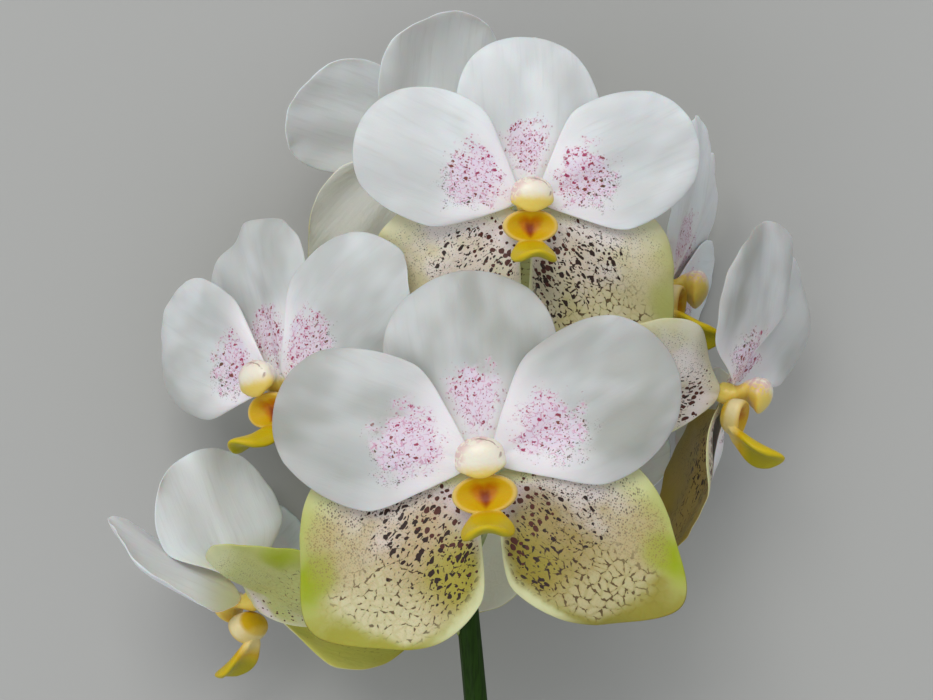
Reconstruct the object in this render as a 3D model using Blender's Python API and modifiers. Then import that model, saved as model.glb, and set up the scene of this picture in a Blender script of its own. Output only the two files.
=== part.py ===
"""A cut vanda orchid spike, lying on its back: one green stem that carries eight blooms.

Metres, +Z up. The spike lies along Y with its cut end towards -Y, and the blooms' best side faces +Z.
Each bloom has three sepals, two petals, a fleshy lip and a column. The stem, its flower stalks and its
bracts grew as one piece, so they are one solid.
"""

import math
from collections import namedtuple

import bmesh
import bpy
import numpy as np
from mathutils import Matrix, Vector

# Thickness of a petal or sepal, and the gap that keeps two touching pieces apart.
BLADE_THICKNESS = 0.0007
SEAT_GAP = 0.0003

# The receptacle is the round end of the column that the petals and sepals stand round. A blade's root
# keeps the seat gap from it, and a little more for the width of the flat root.
RECEPTACLE_RADIUS = 0.0030
RECEPTACLE_BACK = 0.0028
ROOT_GAP = SEAT_GAP + 0.0001

# The front bloom's centre above the surface, and the shift that puts the origin under the box's middle.
FRONT_HEIGHT = 0.088
ORIGIN_SHIFT = Vector((0.00036, 0.07532, FRONT_HEIGHT))

# One petal or sepal of a full-size bloom: its length and greatest width, how narrow its claw is, how much
# it widens towards its tip, how round its outline is (1 is a disc, 0 a square), how far its blunt point
# stands out, the angle that it grows at, its layer in front of the receptacle, its backward slope, its
# crown in the middle, how far its margin rolls back, and the height of the waves in its margin.
Blade = namedtuple("Blade", "length width claw flare roundness point angle layer slope crown roll wave")
DORSAL = Blade(
    length=0.0430, width=0.0405, claw=0.50, flare=0.04, roundness=0.97, point=0.0, angle=90.0,
    layer=-0.0013, slope=0.050, crown=0.0012, roll=0.0018, wave=0.0009,
)
PETAL = Blade(
    length=0.0475, width=0.0366, claw=0.54, flare=0.08, roundness=0.96, point=0.0, angle=25.0,
    layer=0.0012, slope=0.000, crown=0.0018, roll=0.0016, wave=0.0007,
)
LATERAL = Blade(
    length=0.0455, width=0.0440, claw=0.44, flare=0.08, roundness=1.00, point=0.0075, angle=-37.0,
    layer=-0.0014, slope=0.060, crown=0.0016, roll=0.0020, wave=0.0006,
)

# What all the blades share: their faces, the share of the length that the claw takes to widen and that
# a twist takes to turn, how many waves run round the margin, how sharp a point is, and how many
# scallops there are and how deep.
BLADE_FACES_ACROSS = 6
BLADE_FACES_ALONG = 7
CLAW_SHARE = 0.42
TWIST_SHARE = 0.40
WAVES = 5
POINT_SHARPNESS = 10
SCALLOPS = 3
SCALLOP_DEPTH = 0.03
# Each blade and each bloom shifts the waves round the margin, in radians, so that no two are alike.
BLADE_SHIFT = 1.3
BLOOM_SHIFT = 2.1
WAVE_SHIFT = 1.7

# A bloom: where its centre is and where it faces, measured from the front bloom's centre (x across the
# spike, y up it, z away from the surface), its roll, its size and its joint on the stem.
Bloom = namedtuple("Bloom", "name centre facing roll size joint")
BLOOMS = (
    Bloom("front", (0.0038, -0.0273, 0.0000), (-0.05, 0.03, 1.00), 6.5, 1.00, -0.048),
    Bloom("top", (0.0145, 0.0345, -0.0150), (0.12, -0.02, 1.00), 0.0, 0.87, 0.006),
    Bloom("left", (-0.0452, -0.0088, -0.0300), (-0.65, -0.05, 0.76), 12.0, 0.93, -0.034),
    Bloom("right", (0.0646, -0.0109, -0.0400), (0.90, -0.30, 0.30), -30.0, 0.90, -0.040),
    Bloom("low_left", (-0.0543, -0.0635, -0.0560), (-0.75, -0.50, -0.42), 2.0, 0.88, -0.067),
    Bloom("back_top", (-0.0092, 0.0520, -0.0676), (-0.42, 0.45, -0.79), -10.0, 0.84, 0.026),
    Bloom("back_right", (0.0500, 0.0155, -0.0500), (0.92, -0.24, 0.30), -45.0, 0.88, -0.014),
    Bloom("back_low", (0.0138, -0.0360, -0.0720), (0.25, -0.50, -0.83), -25.0, 0.82, -0.055),
)

# How single petals and sepals are held: degrees swept back from the bloom's plane, degrees of twist about
# their own length, degrees that they are raised towards the bloom's top, and their width as a share of
# the blade's own.
HELD = {
    "front": {"lateral_sepal_right": (0.0, 0.0, -4.0, 0.92), "lateral_sepal_left": (0.0, 0.0, 0.0, 1.09)},
    "top": {"lateral_sepal_right": (3.0, 0.0, -7.0, 1.0), "lateral_sepal_left": (4.5, 0.0, -5.0, 1.0)},
    "left": {
        "dorsal_sepal": (3.0, 0.0, 11.0, 1.0),
        "petal_right": (8.5, 0.0, 6.0, 0.95),
        "petal_left": (4.0, 0.0, 6.0, 1.0),
        "lateral_sepal_right": (38.0, 0.0, 14.0, 1.0),
        "lateral_sepal_left": (68.0, 0.0, 20.0, 1.0),
    },
    "right": {
        "dorsal_sepal": (-12.0, 20.0, -6.0, 1.0),
        "petal_left": (1.0, -15.0, 14.0, 1.0),
        "lateral_sepal_right": (7.0, 26.0, 0.0, 1.0),
        "lateral_sepal_left": (38.0, -20.0, 0.0, 1.0),
        "petal_right": (23.0, 20.0, -26.0, 1.0),
    },
    "low_left": {
        "dorsal_sepal": (0.0, 28.0, -3.0, 1.0),
        "petal_right": (-6.0, -25.0, 8.0, 1.0),
        "lateral_sepal_right": (50.0, -30.0, 20.0, 1.0),
        "lateral_sepal_left": (32.0, 0.0, 10.0, 1.0),
    },
    "back_top": {"lateral_sepal_right": (0.0, 0.0, -8.0, 1.0)},
    "back_right": {
        "dorsal_sepal": (-6.0, 0.0, 5.0, 1.0),
        "petal_right": (0.0, 0.0, 16.0, 1.0),
        "petal_left": (0.0, 0.0, 2.0, 1.0),
        "lateral_sepal_right": (0.0, 0.0, 42.0, 1.0),
        "lateral_sepal_left": (74.0, 0.0, 10.0, 1.0),
    },
    "back_low": {"petal_left": (-15.5, 0.0, -17.0, 0.93), "lateral_sepal_left": (14.0, 0.0, -14.0, 0.95)},
}

# The column: a thick stub that rises from the receptacle and nods forwards, with a round cap. Its profile
# is (radius, height) from top to bottom. Between two heights it is lifted off the axis, and grows to a
# greater width and a smaller depth than the profile's.
COLUMN_PROFILE = (
    (0.0, 0.0117),
    (0.0026, 0.0112),
    (0.0045, 0.0096),
    (0.0046, 0.0076),
    (0.0033, 0.0052),
    (0.0026, 0.0024),
    (RECEPTACLE_RADIUS, 0.0004),
    (RECEPTACLE_RADIUS, -0.0012),
    (0.0024, -RECEPTACLE_BACK),
    (0.0, -RECEPTACLE_BACK),
)
COLUMN_SIDES = 10
COLUMN_LIFT = 0.0032
COLUMN_LIFT_HEIGHTS = (0.0008, 0.0060)
COLUMN_WIDTH = 1.20
COLUMN_DEPTH = 0.88

# The lip: an open cup under the column, and a tongue that reaches forwards from it. Both are given by
# ellipsoids in the bloom's axes, and the cup's rim is where its ellipsoid is cut off.
CUP_CENTRE = (0.0, -0.0060, 0.0046)
CUP_RADII = (0.0076, 0.0046, 0.0044)
CUP_RIM = 0.0072
HOLLOW_CENTRE = (0.0, -0.0060, 0.0088)
HOLLOW_RADII = (0.0059, 0.0032, 0.0060)

# The tongue: where it leaves the cup's floor, its size, and how far it droops, turns up at its tip and
# is arched from side to side. It is half as wide at its root, and reaches its full width part way along.
TONGUE_ROOT = (-0.0078, 0.0030)
TONGUE_LENGTH = 0.0185
TONGUE_WIDTH = 0.0122
TONGUE_THICKNESS = 0.0026
TONGUE_DROOP = 0.0070
TONGUE_UPTURN = 0.0018
TONGUE_ARCH = 0.0042
TONGUE_FULL_WIDTH = 0.5

# The stem's axis from its cut end to its tip, and its radius at each of those points.
STEM_ROUTE = (
    ((0.014, -0.235, -0.08487), 0.0032),
    ((0.010, -0.190, -0.0745), 0.0031),
    ((0.006, -0.140, -0.0560), 0.0030),
    ((0.003, -0.095, -0.0440), 0.0029),
    ((-0.001, -0.050, -0.0400), 0.0027),
    ((-0.004, -0.010, -0.0400), 0.0024),
    ((-0.003, 0.020, -0.0420), 0.0020),
    ((0.001, 0.036, -0.0430), 0.0013),
)
STEM_POINTS = 26

# A flower stalk leaves the stem outwards and a little upwards, swells into the ovary and ends in a short
# straight neck behind its bloom. Its pull is how far it keeps each end's direction, as a share of the way.
STALK_RADIUS = 0.0012
OVARY_RADIUS = 0.0019
OVARY_SHARES = (0.2, 0.8)
STALK_POINTS = 8
STALK_STRAIGHT = 0.0020
STALK_RISE = 0.40
STALK_PULL = 0.42

# A bract clasps the stem under each stalk, and three longer sheaths clasp its bare part, each given by
# its height along Y and the side that it faces. A scale wraps the stem by an angle to each side, starts a
# share of its length below its joint, and stands off the stem at its tip.
BRACT_LENGTH = 0.0060
BRACT_THICKNESS = 0.0008
BRACT_BELOW_JOINT = 0.0026
SHEATHS = ((-0.112, (1.0, 0.0, 0.3)), (-0.152, (-1.0, 0.0, 0.5)), (-0.194, (0.6, 0.0, 1.0)))
SHEATH_LENGTH = 0.0090
SCALE_WRAP = 1.15
SCALE_TIP_WRAP = 0.5
SCALE_SUNK = 0.15
SCALE_STAND_OFF = 0.0011
SCALE_LIFT = 0.0001

# Points of one mesh closer than this are welded.
WELD = 0.00001


def smoothstep(x):
    """Nought below 0, one above 1, and a smooth rise between them."""
    x = np.clip(x, 0.0, 1.0)
    return x * x * (3.0 - 2.0 * x)


def clear_scene():
    for obj in list(bpy.data.objects):
        bpy.data.objects.remove(obj)


def material(name, color, roughness):
    mat = bpy.data.materials.new(name)
    mat.use_nodes = True
    shader = mat.node_tree.nodes["Principled BSDF"]
    shader.inputs["Base Color"].default_value = (*color, 1.0)
    shader.inputs["Roughness"].default_value = roughness
    shader.inputs["Metallic"].default_value = 0.0
    mat.diffuse_color = (*color, 1.0)
    return mat


def add_object(name, mesh, collection, mat, parent):
    obj = bpy.data.objects.new(name, mesh)
    collection.objects.link(obj)
    obj.parent = parent
    mesh.materials.append(mat)
    mesh.shade_smooth()
    return obj


def working_object(name, data):
    """An object for a mesh or curve that is used up in the making of another."""
    obj = bpy.data.objects.new(name, data)
    bpy.context.scene.collection.objects.link(obj)
    return obj


def applied(obj):
    """The object's evaluated mesh, welded, as a plain mesh. The object is removed."""
    bpy.context.view_layer.update()
    graph = bpy.context.evaluated_depsgraph_get()
    mesh = bpy.data.meshes.new_from_object(obj.evaluated_get(graph))
    bpy.data.objects.remove(obj)
    bm = bmesh.new()
    bm.from_mesh(mesh)
    bmesh.ops.remove_doubles(bm, verts=bm.verts, dist=WELD)
    bmesh.ops.recalc_face_normals(bm, faces=bm.faces)
    bm.to_mesh(mesh)
    bm.free()
    return mesh


def reshape(mesh, place):
    """Moves every point of a mesh by place(points), an array of rows in and out."""
    co = np.empty(len(mesh.vertices) * 3, np.float32)
    mesh.vertices.foreach_get("co", co)
    moved = place(co.reshape(-1, 3).astype(float))
    mesh.vertices.foreach_set("co", moved.astype(np.float32).ravel())
    mesh.update()
    return mesh


def grid_mesh(name, across_faces, along_faces, place):
    """A flat grid from -1 to 1 both ways, split into triangles, with place(a, b) giving each point."""
    bm = bmesh.new()
    bmesh.ops.create_grid(bm, x_segments=across_faces, y_segments=along_faces, size=1.0)
    bmesh.ops.triangulate(bm, faces=bm.faces, quad_method="SHORT_EDGE")
    mesh = bpy.data.meshes.new(name)
    bm.to_mesh(mesh)
    bm.free()
    return reshape(mesh, lambda points: place(points[:, 0], points[:, 1]))


def thicken(obj, thickness):
    shell = obj.modifiers.new("thickness", "SOLIDIFY")
    shell.thickness = thickness
    shell.offset = 0.0


def disc(a, b, roundness=1.0):
    """The square from -1 to 1 bent into a round disc, so that a blade's outline has no corners."""
    return a * np.sqrt(1.0 - roundness * b * b / 2.0), b * np.sqrt(1.0 - roundness * a * a / 2.0)


def blade_points(a, b, blade, side, size, phase, held):
    """A petal or sepal in its bloom's own axes: x right, y up and z forwards.

    The disc is stretched to the blade's length and width and narrowed to a claw at its root. Its middle
    is crowned, its margin rolls back and is waved, its tip can be drawn out to a blunt point, and the
    whole is twisted about its length and swept back about its root.
    """
    sweep_back, twist_by, raised, width_share = held
    p, q = disc(a, b, blade.roundness)
    rim = np.maximum(np.abs(a), np.abs(b))
    turn = np.arctan2(q, p)
    along = (q + 1.0) / 2.0
    neck = blade.claw + (1.0 - blade.claw) * smoothstep(along / CLAW_SHARE)
    across = p * width_share * blade.width / 2.0 * neck * (1.0 + blade.flare * (2.0 * along - 1.0))
    across *= 1.0 + SCALLOP_DEPTH * rim * np.sin(SCALLOPS * turn + phase)
    lift = (
        blade.crown * np.sin(math.pi * along)
        - blade.roll * rim**4 * along
        + blade.wave * rim**3 * along * np.sin(WAVES * turn + WAVE_SHIFT * phase)
    )
    sweep = math.atan(blade.slope) + math.radians(sweep_back)
    twist = math.radians(twist_by) * smoothstep(along / TWIST_SHARE)
    turned_across = across * np.cos(twist) - lift * np.sin(twist)
    lift = lift * np.cos(twist) + across * np.sin(twist)
    out = blade.length * along + blade.point * rim**4 * np.clip(np.sin(turn), 0.0, 1.0) ** POINT_SHARPNESS
    reach = RECEPTACLE_RADIUS + ROOT_GAP / size + out * math.cos(sweep) + lift * math.sin(sweep)
    forward = blade.layer / size - out * math.sin(sweep) + lift * math.cos(sweep)
    angle = math.radians(blade.angle + raised)
    x = side * (reach * math.cos(angle) + turned_across * math.sin(angle))
    y = reach * math.sin(angle) - turned_across * math.cos(angle)
    return np.stack([x, y, forward], axis=1) * size


def bloom_matrix(bloom):
    """The bloom's axes in the spike's frame: its right, its up and the way that it faces."""
    facing = Vector(bloom.facing).normalized()
    up = (Vector((0.0, 1.0, 0.0)) - facing * facing.y).normalized()
    right = up.cross(facing)
    turn = math.radians(bloom.roll)
    rolled_right = right * math.cos(turn) + up * math.sin(turn)
    rolled_up = up * math.cos(turn) - right * math.sin(turn)
    axes = Matrix((rolled_right, rolled_up, facing)).transposed().to_4x4()
    return Matrix.Translation(Vector(bloom.centre)) @ axes


def press_on_surface(points, bloom):
    """Flattens the stretch of a blade that would pass under the surface, as its own weight does."""
    axes = np.array(bloom_matrix(bloom))
    placed = points @ axes[:3, :3].T + axes[:3, 3]
    placed[:, 2] = np.maximum(placed[:, 2], BLADE_THICKNESS / 2.0 - FRONT_HEIGHT)
    return (placed - axes[:3, 3]) @ axes[:3, :3]


def add_blade(name, blade, side, bloom, phase, parent, collection, mat):
    held = HELD.get(bloom.name, {}).get(name, (0.0, 0.0, 0.0, 1.0))
    mesh = grid_mesh(
        bloom.name + "_" + name,
        BLADE_FACES_ACROSS,
        BLADE_FACES_ALONG,
        lambda a, b: press_on_surface(blade_points(a, b, blade, side, bloom.size, phase, held), bloom),
    )
    thicken(add_object(mesh.name, mesh, collection, mat, parent), BLADE_THICKNESS)


def turned(name, profile, sides):
    """A closed turned mesh round Z, from a profile of (radius, height) that runs from top to bottom."""
    mesh = bpy.data.meshes.new(name + "_profile")
    mesh.from_pydata([(r, 0.0, z) for r, z in profile], [(i, i + 1) for i in range(len(profile) - 1)], [])
    obj = working_object(name, mesh)
    screw = obj.modifiers.new("turn", "SCREW")
    screw.steps = sides
    screw.render_steps = sides
    screw.use_merge_vertices = True
    screw.merge_threshold = WELD
    return applied(obj)


def column_mesh():
    """The full-size column: the turned stub, lifted towards the bloom's top to leave the lip room."""
    low, high = COLUMN_LIFT_HEIGHTS

    def lifted(points):
        share = smoothstep((points[:, 2] - low) / (high - low))
        points[:, 0] *= 1.0 + (COLUMN_WIDTH - 1.0) * share
        points[:, 1] *= 1.0 + (COLUMN_DEPTH - 1.0) * share
        points[:, 1] += COLUMN_LIFT * share
        return points

    return reshape(turned("column", COLUMN_PROFILE, COLUMN_SIDES), lifted)


def ellipsoid(name, centre, radii, segments, rings):
    bm = bmesh.new()
    bmesh.ops.create_uvsphere(bm, u_segments=segments, v_segments=rings, radius=1.0)
    mesh = bpy.data.meshes.new(name)
    bm.to_mesh(mesh)
    bm.free()
    return reshape(mesh, lambda points: points * np.array(radii) + np.array(centre))


def trimmed(mesh, height):
    """Cuts the mesh off above a height and closes the cut."""
    bm = bmesh.new()
    bm.from_mesh(mesh)
    geometry = bm.verts[:] + bm.edges[:] + bm.faces[:]
    cut = bmesh.ops.bisect_plane(
        bm, geom=geometry, plane_co=(0, 0, height), plane_no=(0, 0, 1), clear_outer=True
    )
    bmesh.ops.holes_fill(bm, edges=[e for e in cut["geom_cut"] if isinstance(e, bmesh.types.BMEdge)])
    bmesh.ops.recalc_face_normals(bm, faces=bm.faces)
    bm.to_mesh(mesh)
    bm.free()
    return mesh


def tongue_points(a, b):
    """The tongue's middle surface: it droops from the cup's floor and lifts again at its tip."""
    p, q = disc(a, b)
    along = (q + 1.0) / 2.0
    width = TONGUE_WIDTH * (0.5 + 0.5 * smoothstep(along / TONGUE_FULL_WIDTH))
    arch = TONGUE_ARCH * p * p * along
    x = p * width / 2.0
    y = TONGUE_ROOT[0] - TONGUE_DROOP * np.sqrt(along) + TONGUE_UPTURN * along**4 - arch
    z = TONGUE_ROOT[1] + TONGUE_LENGTH * along - arch / 2.0
    return np.stack([x, y, z], axis=1)


def lip_mesh():
    """The full-size lip: the tongue is joined to the cup, and the cup's hollow is cut from both."""
    cup = working_object("cup", trimmed(ellipsoid("cup", CUP_CENTRE, CUP_RADII, 12, 8), CUP_RIM))
    tongue = working_object("tongue", grid_mesh("tongue", 4, 6, tongue_points))
    hollow = working_object("hollow", ellipsoid("hollow", HOLLOW_CENTRE, HOLLOW_RADII, 10, 8))
    thicken(tongue, TONGUE_THICKNESS)
    for other, operation in ((tongue, "UNION"), (hollow, "DIFFERENCE")):
        step = cup.modifiers.new(operation.lower(), "BOOLEAN")
        step.object = other
        step.operation = operation
    mesh = applied(cup)
    for other in (tongue, hollow):
        bpy.data.objects.remove(other)
    return mesh


def scaled_copy(mesh, size):
    return reshape(mesh.copy(), lambda points: points * size)


def smooth_route(points, count):
    """A smooth curve through the points (Catmull-Rom), read at count places evenly spread over them."""
    known = np.array(points, float)
    padded = np.vstack([2 * known[0] - known[1], known, 2 * known[-1] - known[-2]])
    places = np.linspace(0.0, len(known) - 1.0, count)
    first = np.minimum(places.astype(int), len(known) - 2)
    t = (places - first)[:, None]
    a, b, c, d = (padded[first + k] for k in range(4))
    return 0.5 * (2 * b + (c - a) * t + (2 * a - 5 * b + 4 * c - d) * t**2 + (3 * b - a - 3 * c + d) * t**3)


def tube_mesh(name, route, radii):
    """A round tube along a route, with flat filled ends, as a welded mesh."""
    curve = bpy.data.curves.new(name, "CURVE")
    curve.dimensions = "3D"
    curve.bevel_depth = 1.0
    curve.bevel_resolution = 2
    curve.use_fill_caps = True
    spline = curve.splines.new("POLY")
    spline.points.add(len(route) - 1)
    for point, place, radius in zip(spline.points, route, radii):
        point.co = (*place, 1.0)
        point.radius = radius
    mesh = applied(working_object(name, curve))
    bpy.data.curves.remove(curve)
    return mesh


def stem_axis(heights):
    """The stem's axis points at the given heights along Y."""
    fine = smooth_route([place for place, _ in STEM_ROUTE], 400)
    return np.stack([np.interp(heights, fine[:, 1], fine[:, k]) for k in range(3)], axis=-1)


def stalk_route(bloom):
    """A flower stalk: it leaves the stem upwards and outwards, and ends straight behind its bloom."""
    facing = Vector(bloom.facing).normalized()
    start = Vector(stem_axis(bloom.joint))
    end = Vector(bloom.centre) - facing * (RECEPTACLE_BACK * bloom.size + SEAT_GAP)
    neck = end - facing * STALK_STRAIGHT
    way = neck - start
    outward = Vector((way.x, STALK_RISE * way.length, way.z)).normalized()
    pull = STALK_PULL * way.length
    t = np.linspace(0.0, 1.0, STALK_POINTS)[:, None]
    a, b, c, d = (np.array(handle) for handle in (start, start + outward * pull, neck - facing * pull, neck))
    curve = (1 - t) ** 3 * a + 3 * (1 - t) ** 2 * t * b + 3 * (1 - t) * t**2 * c + t**3 * d
    return np.vstack([curve, np.array(end)])


def stalk_radii(size):
    """Slender at the stem, swelling into the ovary towards the bloom."""
    along = np.linspace(0.0, 1.0, STALK_POINTS + 1)
    begins, ends = OVARY_SHARES
    swelling = smoothstep((along - begins) / (ends - begins))
    return size * (STALK_RADIUS + (OVARY_RADIUS - STALK_RADIUS) * swelling)


def scale_mesh(name, height, heading, length):
    """A small pointed scale that clasps the stem: a blade wrapped part of the way round it."""
    centre, above = stem_axis(np.array([height, height + 0.001]))
    axis = Vector(above - centre).normalized()
    out = Vector(heading)
    out = (out - axis * out.dot(axis)).normalized()
    beside = axis.cross(out)
    radius = float(np.interp(height, [p[1] for p, _ in STEM_ROUTE], [r for _, r in STEM_ROUTE]))

    def place(a, b):
        p, q = disc(a, b)
        along = (q + 1.0) / 2.0
        angle = p * SCALE_WRAP * (1.0 - (1.0 - SCALE_TIP_WRAP) * along)
        reach = radius + SCALE_LIFT + SCALE_STAND_OFF * along**2
        rise = (along - SCALE_SUNK) * length
        return (
            centre
            + np.outer(np.cos(angle) * reach, out)
            + np.outer(np.sin(angle) * reach, beside)
            + np.outer(rise, axis)
        )

    obj = working_object(name, grid_mesh(name, 3, 3, place))
    thicken(obj, BRACT_THICKNESS)
    return applied(obj)


def add_stem(collection, parent, mat):
    """The stem, its stalks and its bracts, joined into one body."""
    route = smooth_route([place for place, _ in STEM_ROUTE], STEM_POINTS)
    radii = smooth_route([(radius,) for _, radius in STEM_ROUTE], STEM_POINTS)[:, 0]
    stem = add_object("flower_stem", tube_mesh("stem", route, radii), collection, mat, parent)
    growths = bpy.data.collections.new("growths on the stem")
    bpy.context.scene.collection.children.link(growths)
    meshes = []
    for bloom in BLOOMS:
        heading = Vector(bloom.centre) - Vector(stem_axis(bloom.joint))
        meshes.append(tube_mesh("stalk", stalk_route(bloom), stalk_radii(bloom.size)))
        meshes.append(scale_mesh("bract", bloom.joint - BRACT_BELOW_JOINT, heading, BRACT_LENGTH))
    for height, heading in SHEATHS:
        meshes.append(scale_mesh("sheath", height, heading, SHEATH_LENGTH))
    for mesh in meshes:
        growth = bpy.data.objects.new(mesh.name, mesh)
        growth.parent = parent
        growths.objects.link(growth)
    join = stem.modifiers.new("join", "BOOLEAN")
    join.operand_type = "COLLECTION"
    join.collection = growths
    join.operation = "UNION"
    bpy.context.view_layer.update()
    graph = bpy.context.evaluated_depsgraph_get()
    stem.data = bpy.data.meshes.new_from_object(stem.evaluated_get(graph))
    stem.modifiers.clear()
    for obj in list(growths.objects):
        bpy.data.objects.remove(obj)
    bpy.data.collections.remove(growths)


def add_bloom(index, bloom, collection, origin, mats, column, lip):
    """One bloom on its own empty: five blades, a lip and a column."""
    pivot = bpy.data.objects.new("bloom_" + bloom.name, None)
    collection.objects.link(pivot)
    pivot.parent = origin
    pivot.matrix_local = bloom_matrix(bloom)
    blades = (
        ("dorsal_sepal", DORSAL, 1, "white"),
        ("petal_right", PETAL, 1, "white"),
        ("petal_left", PETAL, -1, "white"),
        ("lateral_sepal_right", LATERAL, 1, "net"),
        ("lateral_sepal_left", LATERAL, -1, "net"),
    )
    for number, (name, blade, side, tone) in enumerate(blades):
        phase = BLADE_SHIFT * number + BLOOM_SHIFT * index
        add_blade(name, blade, side, bloom, phase, pivot, collection, mats[tone])
    add_object(bloom.name + "_column", scaled_copy(column, bloom.size), collection, mats["column"], pivot)
    add_object(bloom.name + "_lip", scaled_copy(lip, bloom.size), collection, mats["lip"], pivot)


def main():
    clear_scene()
    collection = bpy.data.collections.new("vanda orchid spike")
    bpy.context.scene.collection.children.link(collection)
    mats = {
        "white": material("petal white", (0.90, 0.91, 0.92), 0.55),
        "net": material("netted sepal", (0.80, 0.78, 0.48), 0.55),
        "column": material("column cream", (0.92, 0.86, 0.72), 0.45),
        "lip": material("lip yellow", (0.85, 0.66, 0.04), 0.40),
        "stem": material("stem green", (0.13, 0.27, 0.06), 0.50),
    }
    origin = bpy.data.objects.new("spike_origin", None)
    collection.objects.link(origin)
    origin.location = ORIGIN_SHIFT
    column = column_mesh()
    lip = lip_mesh()
    for index, bloom in enumerate(BLOOMS):
        add_bloom(index, bloom, collection, origin, mats, column, lip)
    add_stem(collection, origin, mats["stem"])


main()
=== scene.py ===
# %% [markdown]
# # A cut vanda orchid
#
# One stem with eight blooms lies on a pale table, and we look straight down on it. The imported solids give
# every piece its place and main form, and this lesson grows a finer skin over each of them: thin waved
# petals, netted sepals, a waxy column, a fleshy cupped lip and a ribbed stem. Each skin is a formula on a
# grid of two parameters, worked out with numpy as whole arrays.

# %% Load the frame
import math
from collections import namedtuple
from types import SimpleNamespace

import bpy
import numpy as np
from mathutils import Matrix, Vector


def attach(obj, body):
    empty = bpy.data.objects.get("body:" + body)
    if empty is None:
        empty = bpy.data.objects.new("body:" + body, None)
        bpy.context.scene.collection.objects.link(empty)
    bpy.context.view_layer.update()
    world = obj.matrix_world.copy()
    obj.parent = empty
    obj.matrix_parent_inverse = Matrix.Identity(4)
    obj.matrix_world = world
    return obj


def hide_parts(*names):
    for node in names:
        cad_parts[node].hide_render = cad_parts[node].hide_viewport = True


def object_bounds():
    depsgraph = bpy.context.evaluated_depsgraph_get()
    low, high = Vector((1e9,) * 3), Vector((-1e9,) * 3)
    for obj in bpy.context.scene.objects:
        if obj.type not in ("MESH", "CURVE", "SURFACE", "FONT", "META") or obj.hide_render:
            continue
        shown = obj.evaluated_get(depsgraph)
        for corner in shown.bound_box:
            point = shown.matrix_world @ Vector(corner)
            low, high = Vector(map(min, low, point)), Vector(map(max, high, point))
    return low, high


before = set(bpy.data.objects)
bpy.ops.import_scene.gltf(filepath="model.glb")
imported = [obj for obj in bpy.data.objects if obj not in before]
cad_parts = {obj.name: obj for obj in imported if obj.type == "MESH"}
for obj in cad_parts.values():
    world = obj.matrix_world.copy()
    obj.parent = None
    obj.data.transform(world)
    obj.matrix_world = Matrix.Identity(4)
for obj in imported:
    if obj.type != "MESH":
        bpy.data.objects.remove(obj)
solid_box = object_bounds()


def rounded(box):
    """The corners of a box in metres, to a tenth of a millimetre."""
    return [tuple(round(v, 4) for v in corner) for corner in box]


print("solids:", len(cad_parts), "box:", rounded(solid_box))

# %% [markdown]
# ## Measures
#
# Sizes are in metres. A bloom is measured at full size in its own axes, with x to its right, y to its top
# and z the way it faces. Then it is scaled, turned and set on its stalk.

# %% The blooms and how they are held
FRONT_HEIGHT = 0.088
ORIGIN_SHIFT = np.array([0.00036, 0.07532, FRONT_HEIGHT])
SEAT_GAP = 0.0003
SEAT_RADIUS, SEAT_BACK = 0.0030, 0.0028

Bloom = namedtuple("Bloom", "name centre facing roll size joint")
BLOOMS = (
    Bloom("front", (0.0038, -0.0273, 0.0000), (-0.05, 0.03, 1.00), 6.5, 1.00, -0.048),
    Bloom("top", (0.0145, 0.0345, -0.0150), (0.12, -0.02, 1.00), 0.0, 0.87, 0.006),
    Bloom("left", (-0.0452, -0.0088, -0.0300), (-0.65, -0.05, 0.76), 12.0, 0.93, -0.034),
    Bloom("right", (0.0646, -0.0109, -0.0400), (0.90, -0.30, 0.30), -30.0, 0.90, -0.040),
    Bloom("low_left", (-0.0543, -0.0635, -0.0560), (-0.75, -0.50, -0.42), 2.0, 0.88, -0.067),
    Bloom("back_top", (-0.0092, 0.0520, -0.0676), (-0.42, 0.45, -0.79), -10.0, 0.84, 0.026),
    Bloom("back_right", (0.0500, 0.0155, -0.0500), (0.92, -0.24, 0.30), -45.0, 0.88, -0.014),
    Bloom("back_low", (0.0138, -0.0360, -0.0720), (0.25, -0.50, -0.83), -25.0, 0.82, -0.055),
)

# Degrees swept back, twisted about its length and raised, and the share of its width, for the five blades of
# each bloom: dorsal sepal, right petal, left petal, right lateral sepal and left lateral sepal.
STRAIGHT = (0, 0, 0, 1)
HELD = {
    "front": (STRAIGHT, STRAIGHT, STRAIGHT, (0, 0, -4, 0.92), (0, 0, 0, 1.09)),
    "top": (STRAIGHT, STRAIGHT, STRAIGHT, (3, 0, -7, 1), (4.5, 0, -5, 1)),
    "left": ((3, 0, 11, 1), (8.5, 0, 6, 0.95), (4, 0, 6, 1), (38, 0, 14, 1), (68, 0, 20, 1)),
    "right": ((-12, 20, -6, 1), (23, 20, -26, 1), (1, -15, 14, 1), (7, 26, 0, 1), (38, -20, 0, 1)),
    "low_left": ((0, 28, -3, 1), (-6, -25, 8, 1), STRAIGHT, (50, -30, 20, 1), (32, 0, 10, 1)),
    "back_top": (STRAIGHT, STRAIGHT, STRAIGHT, (0, 0, -8, 1), STRAIGHT),
    "back_right": ((-6, 0, 5, 1), (0, 0, 16, 1), (0, 0, 2, 1), (0, 0, 42, 1), (74, 0, 10, 1)),
    "back_low": (STRAIGHT, STRAIGHT, (-15.5, 0, -17, 0.93), STRAIGHT, (14, 0, -14, 0.95)),
}
print("blooms:", ", ".join(f"{b.name} x{b.size:.2f}" for b in BLOOMS))

# %% Places in a bloom and on the spike
MM = 1000.0


def smoothstep(x):
    """Nought below 0, one above 1, and a smooth rise between them."""
    x = np.clip(x, 0.0, 1.0)
    return x * x * (3.0 - 2.0 * x)


def bell(x, middle, width):
    """One at the middle, falling softly to nought on both sides of it."""
    return np.exp(-(((x - middle) / width) ** 2))


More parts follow.
